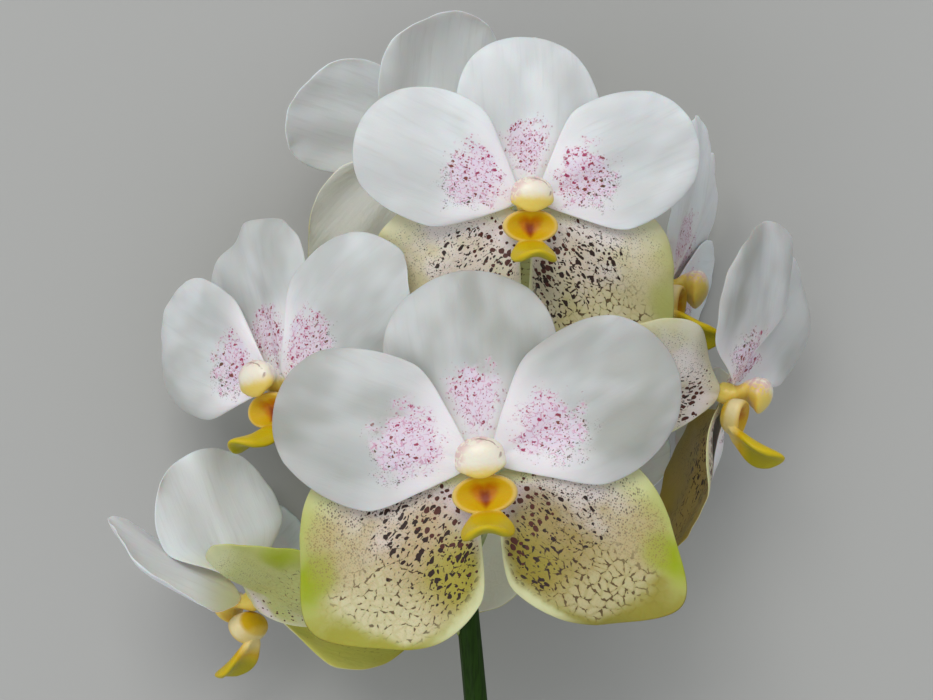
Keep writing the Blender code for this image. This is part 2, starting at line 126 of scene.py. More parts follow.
def unit(vectors):
    """Vectors of length one, along the last axis."""
    return vectors / np.linalg.norm(vectors, axis=-1, keepdims=True)


def points_from(*parts):
    """Arrays or numbers side by side along a last axis, after they are spread to one shape."""
    return np.stack(np.broadcast_arrays(*parts), axis=-1)


def boxed(points, margin=0.0):
    """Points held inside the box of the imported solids, and a margin away from its sides."""
    low, high = np.array(solid_box)
    return np.clip(points, low + margin, high - margin)


def bloom_axes(bloom):
    """The bloom's right, top and facing as the columns of a 3 by 3 array, turned by its roll."""
    facing = unit(np.array(bloom.facing))
    top = unit(np.array([0.0, 1.0, 0.0]) - facing * facing[1])
    right = np.cross(top, facing)
    across, up = math.cos(math.radians(bloom.roll)), math.sin(math.radians(bloom.roll))
    return np.stack([right * across + top * up, top * across - right * up, facing], axis=1)


def placed(points, bloom):
    """Full-size points in a bloom's own axes, brought to its size, turn and place on the spike."""
    return points * bloom.size @ bloom_axes(bloom).T + np.array(bloom.centre) + ORIGIN_SHIFT


print("front bloom's middle:", placed(np.zeros(3), BLOOMS[0]).round(4))

# %% [markdown]
# ## Skins
#
# Two kinds of closed skin make every piece. A leaf skin has a front sheet and a back sheet that share their
# rim, so that its edge is closed and sharp. A round skin has rows that run round, and a pole at each end. A
# signed volume tells which way the faces point, and they are turned over if it is negative.

# %% Closed skins from grids


def give(mesh, name, values):
    """Stores three numbers at each point of a mesh, for its finish to read by name."""
    attribute = mesh.attributes.new(name, "FLOAT_VECTOR", "POINT")
    attribute.data.foreach_set("vector", np.ascontiguousarray(values, np.float32).ravel())


def skin_mesh(name, points, faces, **stored):
    """A mesh from points and blocks of faces. Their signed volume says if they point out."""
    volume = 0.0
    for block in faces:
        for k in range(1, block.shape[1] - 1):
            volume += np.linalg.det(points[block[:, [0, k, k + 1]]]).sum()
    if volume < 0.0:
        faces = [block[:, ::-1] for block in faces]
    mesh = bpy.data.meshes.new(name)
    mesh.from_pydata(points.tolist(), [], sum((block.tolist() for block in faces), []))
    mesh.shade_smooth()
    for label, values in stored.items():
        give(mesh, label, values)
    return mesh


def grid_quads(index):
    """The four corners of every cell of a grid of point numbers."""
    cells = [index[:-1, :-1], index[1:, :-1], index[1:, 1:], index[:-1, 1:]]
    return np.stack([c.ravel() for c in cells], axis=1)


def leaf_skin(front, back):
    """Joins two sheets at their shared rim. The back sheet gives only the points inside the rim."""
    rows, columns = front.shape[:2]
    front_index = np.arange(rows * columns).reshape(rows, columns)
    back_index = front_index.copy()
    back_index[1:-1, 1:-1] = rows * columns + np.arange((rows - 2) * (columns - 2)).reshape(rows - 2, -1)
    faces = [grid_quads(front_index), grid_quads(back_index)[:, ::-1]]
    return joined(front, back), faces


def joined(front, back):
    """Values on the front sheet, then those inside the rim of the back sheet, as one list of rows."""
    width = front.shape[2:] or (1,)
    return np.concatenate([front.reshape(-1, *width), back[1:-1, 1:-1].reshape(-1, *width)])


def round_skin(rings):
    """Closes rows of points that run round. The first and the last row each shrink to one pole."""
    rows, columns = rings.shape[:2]
    points = np.concatenate([rings[:1].mean(axis=1), rings[1:-1].reshape(-1, 3), rings[-1:].mean(axis=1)])
    index = 1 + np.arange((rows - 2) * columns).reshape(rows - 2, columns)
    index = np.concatenate([index, index[:, :1]], axis=1)
    first, last = np.zeros(columns, int), np.full(columns, len(points) - 1)
    start = np.stack([first, index[0, 1:], index[0, :-1]], axis=1)
    end = np.stack([last, index[-1, :-1], index[-1, 1:]], axis=1)
    return points, [grid_quads(index)[:, ::-1], start, end]


def shown(name, data):
    """Puts a new object with this data in the scene."""
    made = bpy.data.objects.new(name, data)
    bpy.context.scene.collection.objects.link(made)
    return made


def add_piece(mesh, finish, node):
    """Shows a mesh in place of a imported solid, riding on the one body and wearing its finish."""
    piece = shown(mesh.name, mesh)
    mesh.materials.append(finish)
    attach(piece, "root")
    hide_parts(node)
    return piece


print("leaf_skin makes the blades, and round_skin the stems and bowls")

# %% [markdown]
# ## Writing shaders as sums
#
# A shader is a small sum over the surface: where a spot is, how far from the margin, how pale the vein. So
# `Flow` wraps a node's output socket, and Python's own operators add the Math nodes.

# %% A socket that does arithmetic


class Flow:
    """A number, colour or vector that flows out of a shader node."""

    def __init__(self, tree, socket):
        self.tree, self.socket = tree, socket

    def node(self, kind, settings, sockets, out=0):
        """Adds any node: its settings first, then a value or a link for each socket named or numbered."""
        made = self.tree.nodes.new("ShaderNode" + kind)
        for name, value in settings.items():
            setattr(made, name, value)
        for name, value in sockets.items():
            if isinstance(value, Flow):
                self.tree.links.new(value.socket, made.inputs[name])
            else:
                made.inputs[name].default_value = value
        return Flow(self.tree, made.outputs[out])

    def math(self, operation, first, second=0.0):
        """A Math node on two numbers."""
        return self.node("Math", {"operation": operation}, {0: first, 1: second})

    def __add__(self, other):
        return self.math("ADD", self, other)

    def __sub__(self, other):
        return self.math("SUBTRACT", self, other)

    def __rsub__(self, other):
        return self.math("SUBTRACT", other, self)

    def __mul__(self, other):
        return self.math("MULTIPLY", self, other)

    def __truediv__(self, other):
        return self.math("DIVIDE", self, other)

    __radd__ = __add__
    __rmul__ = __mul__

    def size(self):
        """The number without its sign."""
        return self.math("ABSOLUTE", self)

    def most(self, other):
        """The larger of this number and another."""
        return self.math("MAXIMUM", self, other)

    def rise(self, low, high):
        """Nought below low, one above high, and smooth between them. With low above high it falls."""
        limits = {"Value": self, "From Min": low, "From Max": high}
        return self.node("MapRange", {"interpolation_type": "SMOOTHSTEP"}, limits)

    def parts(self):
        """The three numbers of a vector."""
        return tuple(self.node("SeparateXYZ", {}, {0: self}, out) for out in range(3))

    def length(self):
        """How long a vector is."""
        return self.node("VectorMath", {"operation": "LENGTH"}, {0: self}, "Value")

    def vector(self, x, y, z=0.0):
        """A vector from three numbers."""
        return self.node("CombineXYZ", {}, {0: x, 1: y, 2: z})

    def between(self, under, over):
        """One colour where this mask is nought, and another where it is one."""
        under, over = (c if isinstance(c, Flow) else (*c, 1.0) for c in (under, over))
        return self.node("Mix", {"data_type": "RGBA"}, {0: self, 6: under, 7: over}, 2)

    def under(self, *layers):
        """This colour under a stack of others, each laid over the last where its mask is one."""
        colour = self
        for mask, ink in layers:
            colour = mask.between(colour, ink)
        return colour

    def noise(self, scale, detail=2.0):
        """Soft noise from 0 to 1, read at this vector. The scale is in bumps a unit."""
        return self.node("TexNoise", {}, {"Vector": self, "Scale": scale, "Detail": detail})

    def cells(self, feature="F1", out="Distance"):
        """Distance to the nearest cell's centre, or to its edge, on a flat sheet of cells one unit wide."""
        settings = {"voronoi_dimensions": "2D", "feature": feature}
        return self.node("TexVoronoi", settings, {"Vector": self, "Scale": 1.0}, out)

    def bump(self, distance):
        """A normal bent by this height, in units of the distance given in metres."""
        return self.node("Bump", {}, {"Height": self, "Distance": distance})

    def dots(self, most, missing, soft=0.06):
        """One round dot a cell, up to most wide in radius. This share of them is missing."""
        chance = self.node("SeparateColor", {}, {0: self.cells(out="Color")})
        radius = (chance - missing) * most / (1.0 - missing)
        return (radius - self.cells()).rise(0.0, soft)


# %% A finish from its flows


def read(start, name):
    """The vector that a mesh stores under this name."""
    return start.node("Attribute", {"attribute_name": name}, {}, "Vector")


def new_finish(name, flows, roughness, **constants):
    """A material whose even values are set on the shader's sockets, and whose flows are linked to them.

    The function flows takes the material's empty start, and gives back a flow for each socket that varies.
    """
    finish = bpy.data.materials.new(name)
    finish.use_nodes = True
    shader = finish.node_tree.nodes["Principled BSDF"]
    for socket, value in {"Roughness": roughness, **constants}.items():
        shader.inputs[socket.replace("_", " ")].default_value = value
    for socket, flow in flows(Flow(finish.node_tree, None)).items():
        finish.node_tree.links.new(flow.socket, shader.inputs[socket])
    print("finish:", name, "with", len(finish.node_tree.nodes), "nodes")
    return finish


# %% [markdown]
# ## The white of petals and dorsal sepals
#
# A petal is white because light scatters between its cells and the air round them, so it needs some
# subsurface light and only a dull gloss. Painted shade in soft grey clouds and on the lower side, and faint
# veins, keep the white from being flat. A little way out from the root sits a lilac patch with small magenta
# dots, joined here and there by thin pink lines, and they turn brown towards the lower side.
#
# The mesh stores `lay`, the flattened petal in millimetres with a different z for each blade, and `share`,
# which says how far across (-1 to 1), along (0 to 1) and towards the rim (0 to 1) a point lies. `side` is one
# on the front, and gives the dots' size and the patch's half width. `tint` says how much painted light the
# petals of the bloom get, from painted grey shade at nought to white at one, and how far along them the
# patch's middle lies.

# %% Petal finish
PETAL_WHITE = (0.85, 0.89, 0.91)
# Painted shade: the grey given to the petals of a bloom with little painted light, in place of white.
SHADED_PETAL_GREY = (0.55, 0.57, 0.56)
# Painted shade: the grey of soft shade on the petals. The faint veins use the same grey.
PAINTED_SHADE_AND_VEIN_GREY = (0.36, 0.37, 0.335)
PETAL_ROOT = (0.90, 0.85, 0.88)
BLUSH = (0.79, 0.67, 0.79)
LINE_PINK = (0.62, 0.30, 0.45)
DOT_MAGENTA = (0.40, 0.03, 0.12)
DOT_RED_BROWN = (0.22, 0.045, 0.03)
DOT_BROWN = (0.075, 0.045, 0.016)
GREEN_ROOT = (0.62, 0.66, 0.22)


def petal_flows(start):
    """White with painted shade in grey clouds and low on one side, then the lilac patch, lines, dots and
    fringe.
    """
    lay = read(start, "lay")
    x, y, seed = lay.parts()
    across, along, _ = read(start, "share").parts()
    front, dot_size, wide = read(start, "side").parts()
    light, centre, _ = read(start, "tint").parts()
    veins = start.vector(across * 16.0, y * 0.06, seed).noise(1.0, 3.0)
    # Painted shade: soft grey clouds stand in for the shade of folds, and the lower side is darker, less so
    # on blooms with more painted light.
    painted_shade = start.vector(x * 0.075, y * 0.04, seed).noise(1.0, 2.0).rise(0.38, 0.62) * 0.7
    painted_shade = painted_shade + across.rise(-0.5, 0.6) * along.rise(0.25, 0.65) * 0.5
    # Painted light and shade: each bloom's petals run from painted grey shade to white by their painted
    # light.
    colour = light.between(SHADED_PETAL_GREY, PETAL_WHITE).under(
        (painted_shade * (1.0 - light * 0.85), PAINTED_SHADE_AND_VEIN_GREY),
        (veins.rise(0.50, 0.80) * 0.14, PAINTED_SHADE_AND_VEIN_GREY),
        ((1.0 - front) * along.rise(0.42, 0.02) * 0.7, GREEN_ROOT),
        (front * along.rise(0.50, 0.14) * 0.9, PETAL_ROOT),
    )

    ragged = lay.noise(0.30, 3.0) - 0.5
    far = start.vector((along - centre) / 0.18, across / wide).length() + ragged * 1.7
    patch = far.rise(1.15, 0.85) * front
    wobble = (lay.noise(0.9) - 0.5) * 1.8
    spots = start.vector((x + wobble) * 0.72, (y + wobble) * 0.60 + seed * 31.0)
    lines = (lay.noise(0.8, 1.0) * 0.5 - 0.17 - spots.cells("DISTANCE_TO_EDGE")).rise(0.0, 0.07)
    lower = (across + ragged * 0.9 + (along - centre) * 1.6) * wide.rise(0.36, 0.46)
    ink = lower.rise(-0.15, 0.15).between(DOT_MAGENTA, DOT_RED_BROWN)
    ink = lower.rise(0.22, 0.42).between(ink, DOT_BROWN)
    tiny = start.vector(x * 1.35, y * 1.15 + seed * 17.0).dots(dot_size * 0.30, 0.35)
    fringe = start.vector(x * 2.3, y * 2.0).dots(0.42, 0.2) * (lower + ragged * 0.4).rise(0.36, 0.50)
    colour = colour.under(
        (far.rise(1.25, 0.45) * front * 0.8, BLUSH),
        (lines * patch * 0.75, LINE_PINK),
        (spots.dots(dot_size * 0.30, 0.25) * patch, ink),
        (tiny * far.rise(1.3, 0.9) * front * 0.8, ink),
        (fringe * far.rise(1.3, 1.05) * front * 0.5, DOT_BROWN),
    )
    fine = start.vector(x * 2.4, y * 0.8, seed).noise(1.0, 2.0)
    bump = (veins * 0.5 + fine * 0.15).bump(0.00012)
    return {"Base Color": colour, "Roughness": fine * 0.16 + 0.42, "Normal": bump}


SOFT = {"Subsurface_Weight": 0.35, "Subsurface_Scale": 0.0015}
WHITE = new_finish("petal white", petal_flows, 0.50, Sheen_Weight=0.10, **SOFT)

# %% [markdown]
# ## The net of the lateral sepals
#
# The two lower sepals are the flower's mark. Lilac white, peach and cream run into yellow-green at the
# margin, and over them lies a broken brown network. It grows in rows that fan out from the root, so the mesh
# stores `fan`: how far round the root and how far out from it a point lies, in millimetres.
#
# Each layer is a mask and a colour, and the finish lays them one over another. The masks come from shares of
# the blade, bent by soft noise so that no border is even. `side` is one on the front. Then it gives how
# heavy the dashes are and, on the front, how green the margin is, or on the back how brown the flesh shows
# there. `tint` says how far the sepal has turned yellow-green, how deep and olive its flesh is, and how
# dusty it is with dots and stipple.

# %% What the net's layers read
WOBBLE_REACH = 1.0


def sepal_places(start):
    """Every reading that the layers share: stored places, soft noises, and shares bent by them."""
    s = SimpleNamespace(start=start, lay=read(start, "lay"))
    s.x, s.y, s.seed = s.lay.parts()
    s.across, s.along, rim = read(start, "share").parts()
    s.front, s.heavy, s.tone = read(start, "side").parts()
    s.round_way, s.out_way, _ = read(start, "fan").parts()
    s.yellow, s.deep, s.dusty = read(start, "tint").parts()
    s.cloud = s.lay.noise(0.11, 3.0) - 0.5
    s.ragged = s.lay.noise(0.45, 3.0) - 0.5
    s.wobble = (s.lay.noise(0.32, 2.0) - 0.5) * (WOBBLE_REACH * 2.0)
    s.side_way = s.across + s.cloud * 0.6
    s.outer = s.side_way.rise(0.05, -0.40)
    s.edge = rim + s.ragged * 0.08 + s.cloud * 0.16
    s.free = s.edge.rise(0.93, 0.74) * (s.front + (1.0 - s.front) * s.tone.rise(0.2, 1.0))
    s.netted = s.along.rise(0.32, 0.50) * s.side_way.rise(-0.30, 0.05)
    s.gap = in_rows(s, 1.4, 2.6, 31.0).cells("DISTANCE_TO_EDGE")
    return s


def in_rows(s, width, length, shift):
    """The fan's places counted in cells of this width and length in millimetres, in slightly wavy rows."""
    return s.start.vector((s.round_way + s.wobble) / width, (s.out_way + s.wobble) / length + s.seed * shift)


print("rows wander by up to", WOBBLE_REACH, "mm")

# %% Flesh and margins
LILAC_WHITE = (0.72, 0.62, 0.66)
PINK_WHITE = (0.76, 0.69, 0.67)
PEACH = (0.60, 0.46, 0.29)
CREAM = (0.74, 0.69, 0.43)
PALE = (0.86, 0.80, 0.76)
YELLOW_TAN = (0.52, 0.45, 0.17)
CELL_EDGE = (0.40, 0.36, 0.07)
YELLOW_GREEN = (0.40, 0.36, 0.02)
OLIVE_TAN = (0.25, 0.19, 0.014)
SOFT_GREEN = (0.49, 0.52, 0.15)
LIME = (0.33, 0.40, 0.002)
BOTTOM_OLIVE = (0.38, 0.36, 0.012)
EDGE_PALE = (0.70, 0.71, 0.40)
BACK_CREAM = (0.95, 0.96, 0.91)
BACK_GREEN = (0.54, 0.53, 0.08)
BACK_OLIVE = (0.30, 0.20, 0.03)


def flesh_layers(s):
    """Cream and tan low down, yellow-green on the inner side, olive near the root and round the cells."""
    inner = (s.side_way + s.along * 0.2).rise(0.20, 0.65)
    low = (s.along + s.cloud * 0.3).rise(0.50, 0.78)
    pale = (s.along + s.cloud).rise(0.40, 0.75).between(PALE, CREAM)
    return (
        (s.outer * (1.0 - low * 0.4), PINK_WHITE),
        (low * s.side_way.rise(-0.30, 0.10), CREAM),
        (low * s.outer * 0.8, YELLOW_TAN),
        (inner * s.along.rise(0.14, 0.30) * s.along.rise(0.70, 0.45) * 0.9, YELLOW_GREEN),
        ((1.0 - s.dusty) * 0.8, pale),
        ((1.0 - s.outer * 0.8) * (1.0 - low * 0.40) * s.deep * s.along.rise(0.10, 0.22), OLIVE_TAN),
        ((s.along + s.cloud * 0.8).rise(0.02, 0.35) * s.yellow, SOFT_GREEN),
        (s.netted * s.gap.rise(0.24, 0.04) * (0.15 + s.deep * 0.30), s.deep.between(CELL_EDGE, OLIVE_TAN)),
    )


def margin_layers(s):
    """Green and pale margins, an olive lower edge, a lime corner, and over them all the plain back."""
    green = s.front * s.tone + (1.0 - s.front)
    margin = (s.along + s.cloud * 0.3).rise(0.50, 0.85).between(EDGE_PALE, SOFT_GREEN)
    bottom = (s.edge + s.along * 0.1 + s.deep * 0.08).rise(0.88, 1.04)
    bottom = bottom * s.side_way.rise(-0.30, 0.15) * s.along.rise(0.45, 0.72)
    corner = s.start.vector((s.along - 0.90) / 0.11, (s.across + 0.32) / 0.22).length() + s.cloud * 1.2
    inside = s.side_way.rise(0.35, 0.65) * s.along.rise(0.85, 0.60)
    back = s.tone.rise(0.0, 0.5).between(BACK_CREAM, BACK_GREEN)
    return (
        ((s.edge + s.outer * 0.20).rise(0.74, 1.04) * (green * 0.6 + 0.4), margin),
        (bottom * green * 0.85, s.deep.between(BOTTOM_OLIVE, OLIVE_TAN)),
        (corner.rise(1.35, 0.2) * green, LIME),
        (s.edge.rise(0.86, 0.96) * inside * 0.85, EDGE_PALE),
        ((1.0 - s.front) * 0.9, s.tone.rise(0.5, 1.0).between(back, BACK_OLIVE)),
    )


print("the backs run from", BACK_CREAM, "to", BACK_OLIVE)

# %% [markdown]
# ## The marks over the flesh
#
# Round red-brown spots stand by the lip, short black dashes further out and thin lines round pale cells below
# them. Fine dots and stipple cover the outer side. All of them fade before the margin.

# %% Dust and net
STIPPLE_TAN = (0.46, 0.36, 0.14)
STIPPLE_BROWN = (0.26, 0.16, 0.06)
SPOT_RED = (0.080, 0.016, 0.009)
DASH_DARK = (0.026, 0.009, 0.005)
LINE_BROWN = (0.085, 0.042, 0.012)
DUST_BROWN = (0.085, 0.050, 0.040)


def dust_layers(s):
    """Tan stipple and brown grains low on the outer side, and fine dots over all of it."""
    outside = s.outer * 0.8 + 0.2
    tan = (s.along + s.cloud * 0.5 - s.outer * 0.1).rise(0.48, 0.70) * outside * s.dusty * s.free
    grains = s.start.vector(s.x * 2.0, s.y * 2.0 + s.seed * 7.0).dots(0.6, 0.0, 0.25)
    dust = s.start.vector(s.round_way * 1.9, s.out_way * 1.9 + s.seed * 13.0)
    crowd = 0.34 + s.dusty * 0.14 + (s.lay.noise(0.25, 2.0) - 0.5) * 0.6
    dusted = outside * s.free * s.along.rise(0.90, 0.60) * (s.dusty * 0.3 + 0.7)
    return (
        (tan * 0.45, STIPPLE_TAN),
        (grains * tan * 0.6, STIPPLE_BROWN),
        (dust.dots(crowd, 0.0, 0.12) * dusted * 0.8, DUST_BROWN),
    )


def net_layers(s):
    """Thin lines round the pale cells, then dashes in two sizes with their links, then the red spots."""
    thick = s.lay.noise(0.75, 1.0) - 0.5
    thin = s.deep * 0.10 + s.heavy * 0.05 - 0.048 + thick * 0.60 - s.gap
    thin = thin.rise(0.0, 0.03) * s.netted * s.free * s.along.rise(1.05, 0.85)
    band = s.along.rise(0.16, 0.26) * (s.along + s.cloud * 0.3).rise(0.74, 0.50)
    band = band * s.side_way.rise(-0.62, -0.22) * (1.0 - s.yellow * 0.8)
    links = (thick * 0.62 * (s.heavy * 0.5 + 0.5) - s.gap).rise(0.0, 0.04)
    large, small = in_rows(s, 1.45, 2.8, 37.0), in_rows(s, 0.95, 1.7, 41.0)
    dashes = large.dots((s.heavy * 0.15 + 0.26) * band, 0.12, 0.05).most(links * band)
    dashes = dashes.most(small.dots(band * (0.20 + s.heavy * 0.10), 0.2, 0.06))
    spots = s.start.vector((s.x + s.wobble * 0.7) * 0.60, (s.y + s.wobble * 0.7) * 0.50 + s.seed * 17.0)
    near = (s.along + s.cloud * 0.2 + s.outer * 0.1).rise(0.50, 0.28) * s.free
    near = near * (1.0 - s.outer * 0.5 - s.yellow * 0.5)
    return (
        (thin * 0.9, LINE_BROWN),
        (dashes * band.rise(0.0, 0.3) * s.free, DASH_DARK),
        (spots.dots(near * 0.52, 0.0) * near.rise(0.0, 0.2), SPOT_RED),
    )


def netted_flows(start):
    """All the layers over a ground that runs from lilac white to peach, and veins that run out in the fan."""
    s = sepal_places(start)
    ground = (s.along + s.cloud * 0.2).rise(0.16, 0.36).between(LILAC_WHITE, PEACH)
    colour = ground.under(*flesh_layers(s), *margin_layers(s), *dust_layers(s), *net_layers(s))
    veins = start.vector(s.round_way * 0.9, s.out_way * 0.10, s.seed).noise(1.0, 2.0)
    bump = (veins * 0.8 + s.gap.rise(0.0, 0.3) * s.netted * 0.15 + s.ragged * 0.2).bump(0.00018)
    return {"Base Color": colour, "Roughness": s.ragged * 0.2 + 0.48, "Normal": bump}


FLESH = {"Subsurface_Weight": 0.20, "Subsurface_Scale": 0.0009}
NETTED = new_finish("netted sepal", netted_flows, 0.50, Specular_IOR_Level=0.35, **FLESH)

# %% [markdown]
# ## The blades
#
# Petals and sepals share one formula. A square grid is bent into a disc, stretched to the blade's length and
# width and narrowed to a claw at its root. The middle is crowned, the margin rolls back and is waved, and the
# whole is twisted and swept. The skin adds what the solid leaves out: soft folds, a shallow channel along the
# middle, ripples in the margin, and a thickness that thins out to the rim.

# %% Measures of a blade
Blade = namedtuple("Blade", "length width claw flare roundness point angle layer slope crown roll wave")
DORSAL = Blade(0.0430, 0.0405, 0.50, 0.04, 0.97, 0.0, 90.0, -0.0013, 0.050, 0.0012, 0.0018, 0.0009)
PETAL = Blade(0.0475, 0.0366, 0.54, 0.08, 0.96, 0.0, 25.0, 0.0012, 0.000, 0.0018, 0.0016, 0.0007)
LATERAL = Blade(0.0455, 0.0440, 0.44, 0.08, 1.00, 0.0075, -37.0, -0.0014, 0.060, 0.0016, 0.0020, 0.0006)

BLADE_THICKNESS, BLADE_EDGE = 0.0007, 10
ROOT_GAP = SEAT_GAP + 0.0001
CLAW_SHARE, TWIST_SHARE, POINT_SHARPNESS = 0.42, 0.40, 10
SCALLOPS, SCALLOP_DEPTH = 3, 0.03
FAN_MIDDLE = 20.0
# Broad folds: the share of the height, the turns across and along, and the shift for each blade.
FOLD_HEIGHT, FOLDED_FROM = 0.00085, 0.35
FOLDS = ((1.0, 3.4, 4.0, 2.3), (0.45, 7.5, -3.0, 3.1))
# Two that lie close together keep only this share of their folds.
CALMED = {"back_right_dorsal_sepal": 0.3, "back_right_petal_right": 0.3}
CHANNEL_DEPTH, CHANNEL_WIDTH, CHANNEL_END = 0.00035, 0.12, 0.6
# Waves, ripples and ruffles round the rim: how many, and the shift for each blade.
RIM_WAVES = ((5.0, 1.7), (17.0, 5.0), (8.0, 2.0))
RIPPLE_HEIGHT = 0.00018
# Some margins are ruffled more than the solids show: the height of their extra waves.
RUFFLES = {"left_dorsal_sepal": 0.0014, "left_petal_right": 0.0007, "low_left_dorsal_sepal": 0.0006}
print("a petal is", PETAL.length * MM, "mm long and", PETAL.width * MM, "mm wide")

# %% Grids bent into a disc, and sheets with a soft edge


def crowded(count):
    """Places from -1 to 1 that crowd towards both ends, so that the rim gets finer faces."""
    s = np.linspace(-1.0, 1.0, count + 1)
    return s * (1.4 - 0.4 * s * s)


def disc_grid(grid, roundness=1.0):
    """The square from -1 to 1 bent into a disc: how far across, along and towards the rim, and the turn."""
    b, a = np.meshgrid(crowded(grid[1]), crowded(grid[0]))
    p = a * np.sqrt(1.0 - roundness * b * b / 2.0)
    q = b * np.sqrt(1.0 - roundness * a * a / 2.0)
    return p, (q + 1.0) / 2.0, np.maximum(np.abs(a), np.abs(b)), np.arctan2(q, p)


def half_thickness(thickness, rim, power):
    """Full in the middle and nothing at the rim: the root of one less a power of the rim's share."""
    return thickness / 2.0 * np.sqrt(np.clip(1.0 - rim**power, 0.0, 1.0))


def two_sheets(sheet, half, facing):
    """The sheet moved half its thickness to each side, along its normal. The first looks the given way."""
    normal = unit(np.cross(np.gradient(sheet, axis=0), np.gradient(sheet, axis=1)))
    if (normal @ facing).mean() < 0.0:
        normal = -normal
    return sheet + normal * half, sheet - normal * half


print("half a blade near its rim:", half_thickness(BLADE_THICKNESS, 0.99, BLADE_EDGE).round(6), "m")

# %% The blade formula


def blade_outline(blade, disc, width_share, phase):
    """Across is the disc's width times claw, flare and scallops. Out is the length, and more at the tip."""
    p, along, rim, turn = disc
    neck = blade.claw + (1.0 - blade.claw) * smoothstep(along / CLAW_SHARE)
    across = p * width_share * blade.width / 2.0 * neck * (1.0 + blade.flare * (2.0 * along - 1.0))
    across = across * (1.0 + SCALLOP_DEPTH * rim * np.sin(SCALLOPS * turn + phase))
    tip = np.clip(np.sin(turn), 0.0, 1.0) ** POINT_SHARPNESS
    return across, blade.length * along + blade.point * rim**4 * tip


def blade_lift(name, blade, disc, phase):
    """The height off the flat: crown, less rolled margin and channel, plus folds, waves and ripples."""
    p, along, rim, turn = disc
    waves, ripples, ruffles = (np.sin(count * turn + shift * phase) for count, shift in RIM_WAVES)
    lift = blade.crown * np.sin(math.pi * along) - blade.roll * rim**4 * along
    lift = lift + blade.wave * rim**3 * along * waves
    folded = CALMED.get(name, 1.0) * smoothstep(along / FOLDED_FROM) * (1.0 - rim**6)
    for share, over, on, shift in FOLDS:
        lift = lift + FOLD_HEIGHT * share * folded * np.sin(over * p + on * along + shift * phase)
    lift = lift - CHANNEL_DEPTH * bell(p, 0.0, CHANNEL_WIDTH) * smoothstep((1.0 - along) / CHANNEL_END)
    lift = lift + RIPPLE_HEIGHT * rim**6 * along * ripples
    return lift + RUFFLES.get(name, 0.0) * rim**4 * along**2 * ruffles


def blade_sheet(name, part, bloom, held, phase, grid):
    """The middle surface of a blade at full size, with its shares, its flattened lay and its fan.

    Twist turns across into lift, and sweep turns the length back. The fan is the angle round the root times
    the square root of the distance from it, so that rows stay nearly as far apart as they run out.
    """
    sweep_back, twist_by, raised, width_share = held
    blade = part.blade
    disc = disc_grid(grid, blade.roundness)
    p, along, rim, _ = disc
    across, out = blade_outline(blade, disc, width_share, phase)
    flat_lift = blade_lift(name, blade, disc, phase)
    lay = points_from(across * MM, out * MM, phase)
    away = np.hypot(across, out + SEAT_RADIUS) * MM
    round_way = np.arctan2(across, out + SEAT_RADIUS) * np.sqrt(FAN_MIDDLE * away)
    fan = points_from(round_way, away, phase)
    sweep = math.atan(blade.slope) + math.radians(sweep_back)
    twist = math.radians(twist_by) * smoothstep(along / TWIST_SHARE)
    turned_across = across * np.cos(twist) - flat_lift * np.sin(twist)
    lift = flat_lift * np.cos(twist) + across * np.sin(twist)
    reach = SEAT_RADIUS + ROOT_GAP / bloom.size + out * math.cos(sweep) + lift * math.sin(sweep)
    forward = blade.layer / bloom.size - out * math.sin(sweep) + lift * math.cos(sweep)
    angle = math.radians(blade.angle + raised)
    x = part.side * (reach * math.cos(angle) + turned_across * math.sin(angle))
    y = reach * math.sin(angle) - turned_across * math.cos(angle)
    return points_from(x, y, forward), points_from(p, along, rim), lay, fan


# %% [markdown]
# ## Forty blades
#
# Each bloom gets its five. The blooms that face the viewer get finer grids than the far ones. The topmost
# bloom has large dots, and the sepals differ in how heavy their dashes are and how green their margins: the
# youngest bloom's are still pale, and the lowest one's are nearly all green.

# %% What each bloom looks like
# How much painted light the petals get, from painted grey shade at nought to white at one, how far along them
# their patch sits and how large its dots are, how dusty and how yellow-green the sepals are, and how far up
# the column's cap has ripened. Then, for the right and the left lateral sepal: how heavy the dashes are, how
# green the margin is, the back's tone from cream to dark olive, and how deep and olive the flesh is.
Looks = namedtuple("Looks", "light centre dots dusty yellow ripe sepals")
LOOKS = {
    "front": Looks(0.10, 0.30, 1.0, 1.0, 0.0, 0.0, ((0.6, 1.0, 0.5, 0.7), (1.0, 1.0, 0.5, 0.2))),
    "top": Looks(0.75, 0.27, 1.25, 0.25, 0.0, 0.7, ((1.4, 0.3, 0.2, 0.2), (0.7, 0.15, 0.2, 0.0))),
    "left": Looks(0.50, 0.25, 1.2, 0.3, 0.0, 0.6, ((0.6, 0.7, 0.4, 0.2),) * 2),
    "right": Looks(0.30, 0.16, 1.5, 0.15, 0.0, 1.2, ((0.9, 0.8, 1.0, 0.2), (1.0, 0.1, 0.1, 0.1))),
    "low_left": Looks(1.0, 0.25, 1.0, 0.2, 0.9, 1.4, ((0.3, 1.0, 0.5, 0.2),) * 2),
    "back_top": Looks(1.0, 0.25, 1.0, 0.1, 0.0, 0.0, ((0.5, 0.1, 0.0, 0.2),) * 2),
    "back_right": Looks(1.0, 0.25, 1.0, 0.1, 0.6, 1.2, ((0.6, 0.7, 0.4, 0.2),) * 2),
    "back_low": Looks(1.0, 0.25, 1.0, 0.1, 0.5, 0.0, ((0.3, 0.6, 0.12, 0.2),) * 2),
}
NEAR_GRID, FAR_GRID, NEAR_BLOOMS = (60, 70), (44, 50), 4
BLADE_SHIFT, BLOOM_SHIFT = 1.3, 2.1
DORSAL_PATCH, PETAL_PATCH = 0.34, 0.52
Part = namedtuple("Part", "name blade side finish slot")
